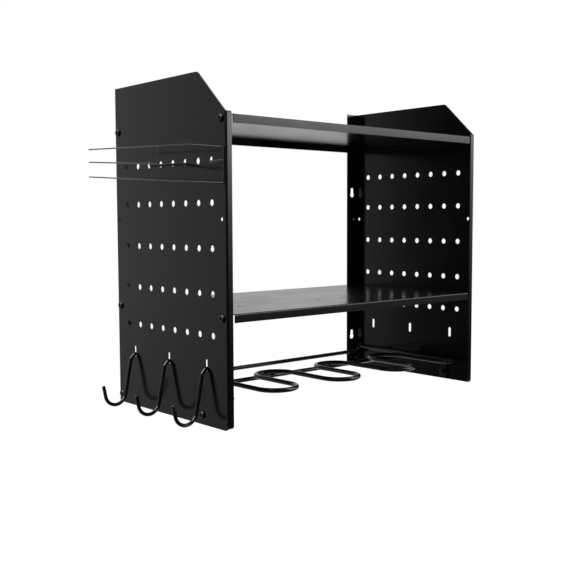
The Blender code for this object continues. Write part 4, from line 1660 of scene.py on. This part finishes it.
    def surround(self) -> None:
        """Set the world: white to the camera, even light to matt surfaces, the room to reflections."""
        world = bpy.data.worlds.new("studio_surround")
        bpy.context.scene.world = world
        world.use_nodes = True
        tree = world.node_tree
        tree.nodes.clear()
        rays = add_node(tree, "ShaderNodeLightPath").outputs
        way = add_node(tree, "ShaderNodeTexCoord").outputs["Generated"]
        parts = add_node(tree, "ShaderNodeSeparateXYZ", {0: way}).outputs
        azimuth = add_node(tree, "ShaderNodeMath", {0: parts["X"], 1: parts["Y"]}, operation="ARCTAN2")
        ring = add_node(tree, "ShaderNodeMapRange",
                        {"Value": azimuth.outputs[0], "From Min": -math.pi, "From Max": math.pi})
        facing = add_node(tree, "ShaderNodeMapRange",
                          {"Value": parts["Y"], "From Min": self.front_fade[0],
                           "From Max": self.front_fade[1]})
        room = add_node(tree, "ShaderNodeMix",
                        {0: facing.outputs["Result"], 2: self.side_light(tree, parts, ring.outputs["Result"]),
                         3: self.front_light(tree, parts, ring.outputs["Result"])}, data_type="FLOAT")
        lit = add_node(tree, "ShaderNodeMath", {0: room.outputs[0], 1: self.high_light(tree, way)},
                       operation="ADD")
        shiny = add_node(tree, "ShaderNodeMath", {0: rays["Is Glossy Ray"], 1: rays["Is Transmission Ray"]},
                         operation="MAXIMUM")
        plain = add_node(tree, "ShaderNodeMix", {0: rays["Is Camera Ray"], 2: self.ambient, 3: 1.0},
                         data_type="FLOAT")
        strength = add_node(tree, "ShaderNodeMix",
                            {0: shiny.outputs[0], 2: plain.outputs[0], 3: lit.outputs[0]}, data_type="FLOAT")
        back = add_node(tree, "ShaderNodeBackground",
                        {"Color": (1, 1, 1, 1), "Strength": strength.outputs[0]})
        add_node(tree, "ShaderNodeOutputWorld", {"Surface": back.outputs[0]})

    def lamp(self) -> bpy.types.Object:
        """Add one large soft lamp from the front right and above.

        Returns:
            The lamp.
        """
        data = bpy.data.lights.new("soft_box", "AREA")
        data.shape = "RECTANGLE"
        data.size, data.size_y = self.lamp_size
        data.energy = self.lamp_power
        item = bpy.data.objects.new("soft_box", data)
        bpy.context.scene.collection.objects.link(item)
        item.location = self.lamp_spot
        ahead = Vector(self.lamp_aim) - item.location
        item.rotation_euler = ahead.to_track_quat("-Z", "Y").to_euler()
        item.visible_glossy = False
        return item

    def build(self) -> None:
        """Make the floor, the surround and the lamp, and show colours as they are."""
        self.floor()
        self.surround()
        self.lamp()
        bpy.context.scene.view_settings.view_transform = "Standard"


def main() -> None:
    """Build every sub-assembly in order, then the studio."""
    logging.basicConfig(level=logging.INFO, format="%(name)s: %(message)s")
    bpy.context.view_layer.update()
    wires, holes, rows, welds = BentWire(), Perforation(), FastenerRow(), WeldBeads()
    panel_coat = PowderCoat("black_powder_coat_panel", "panel_coat", "#08080a", 0.14)
    shelf_coat = PowderCoat("black_powder_coat_shelf", "shelf_coat", ior=1.4)
    wire_coat = PowderCoat("black_powder_coat_wire", "wire_coat", wave_mm=1.6, wave_depth_mm=0.004)
    # The rack's coat is drawn dark grey, not black like the other coats: a painted sheen that stands in for
    # the reflections on its thin wires.
    rack_coat = PowderCoat("black_powder_coat_rack", "rack_coat", "#333336", 0.3, wave_mm=1.2,
                           wave_depth_mm=0.003)

    for side in Side:
        SidePanel(side, panel_coat).build(holes)
    for level in Level:
        Shelf(level, shelf_coat).build(holes)
    Hanger(wire_coat).build(wires, welds)
    for place, depth in zip(HookPlace, LAYOUT.hook_depths):
        Hook(place, depth, wire_coat).build(wires)
    SideRack(rack_coat).build(wires, welds)
    Fasteners(BlackZinc()).build(rows)

    Viewpoint().place()
    Studio().build()


if __name__ == "__main__":
    main()
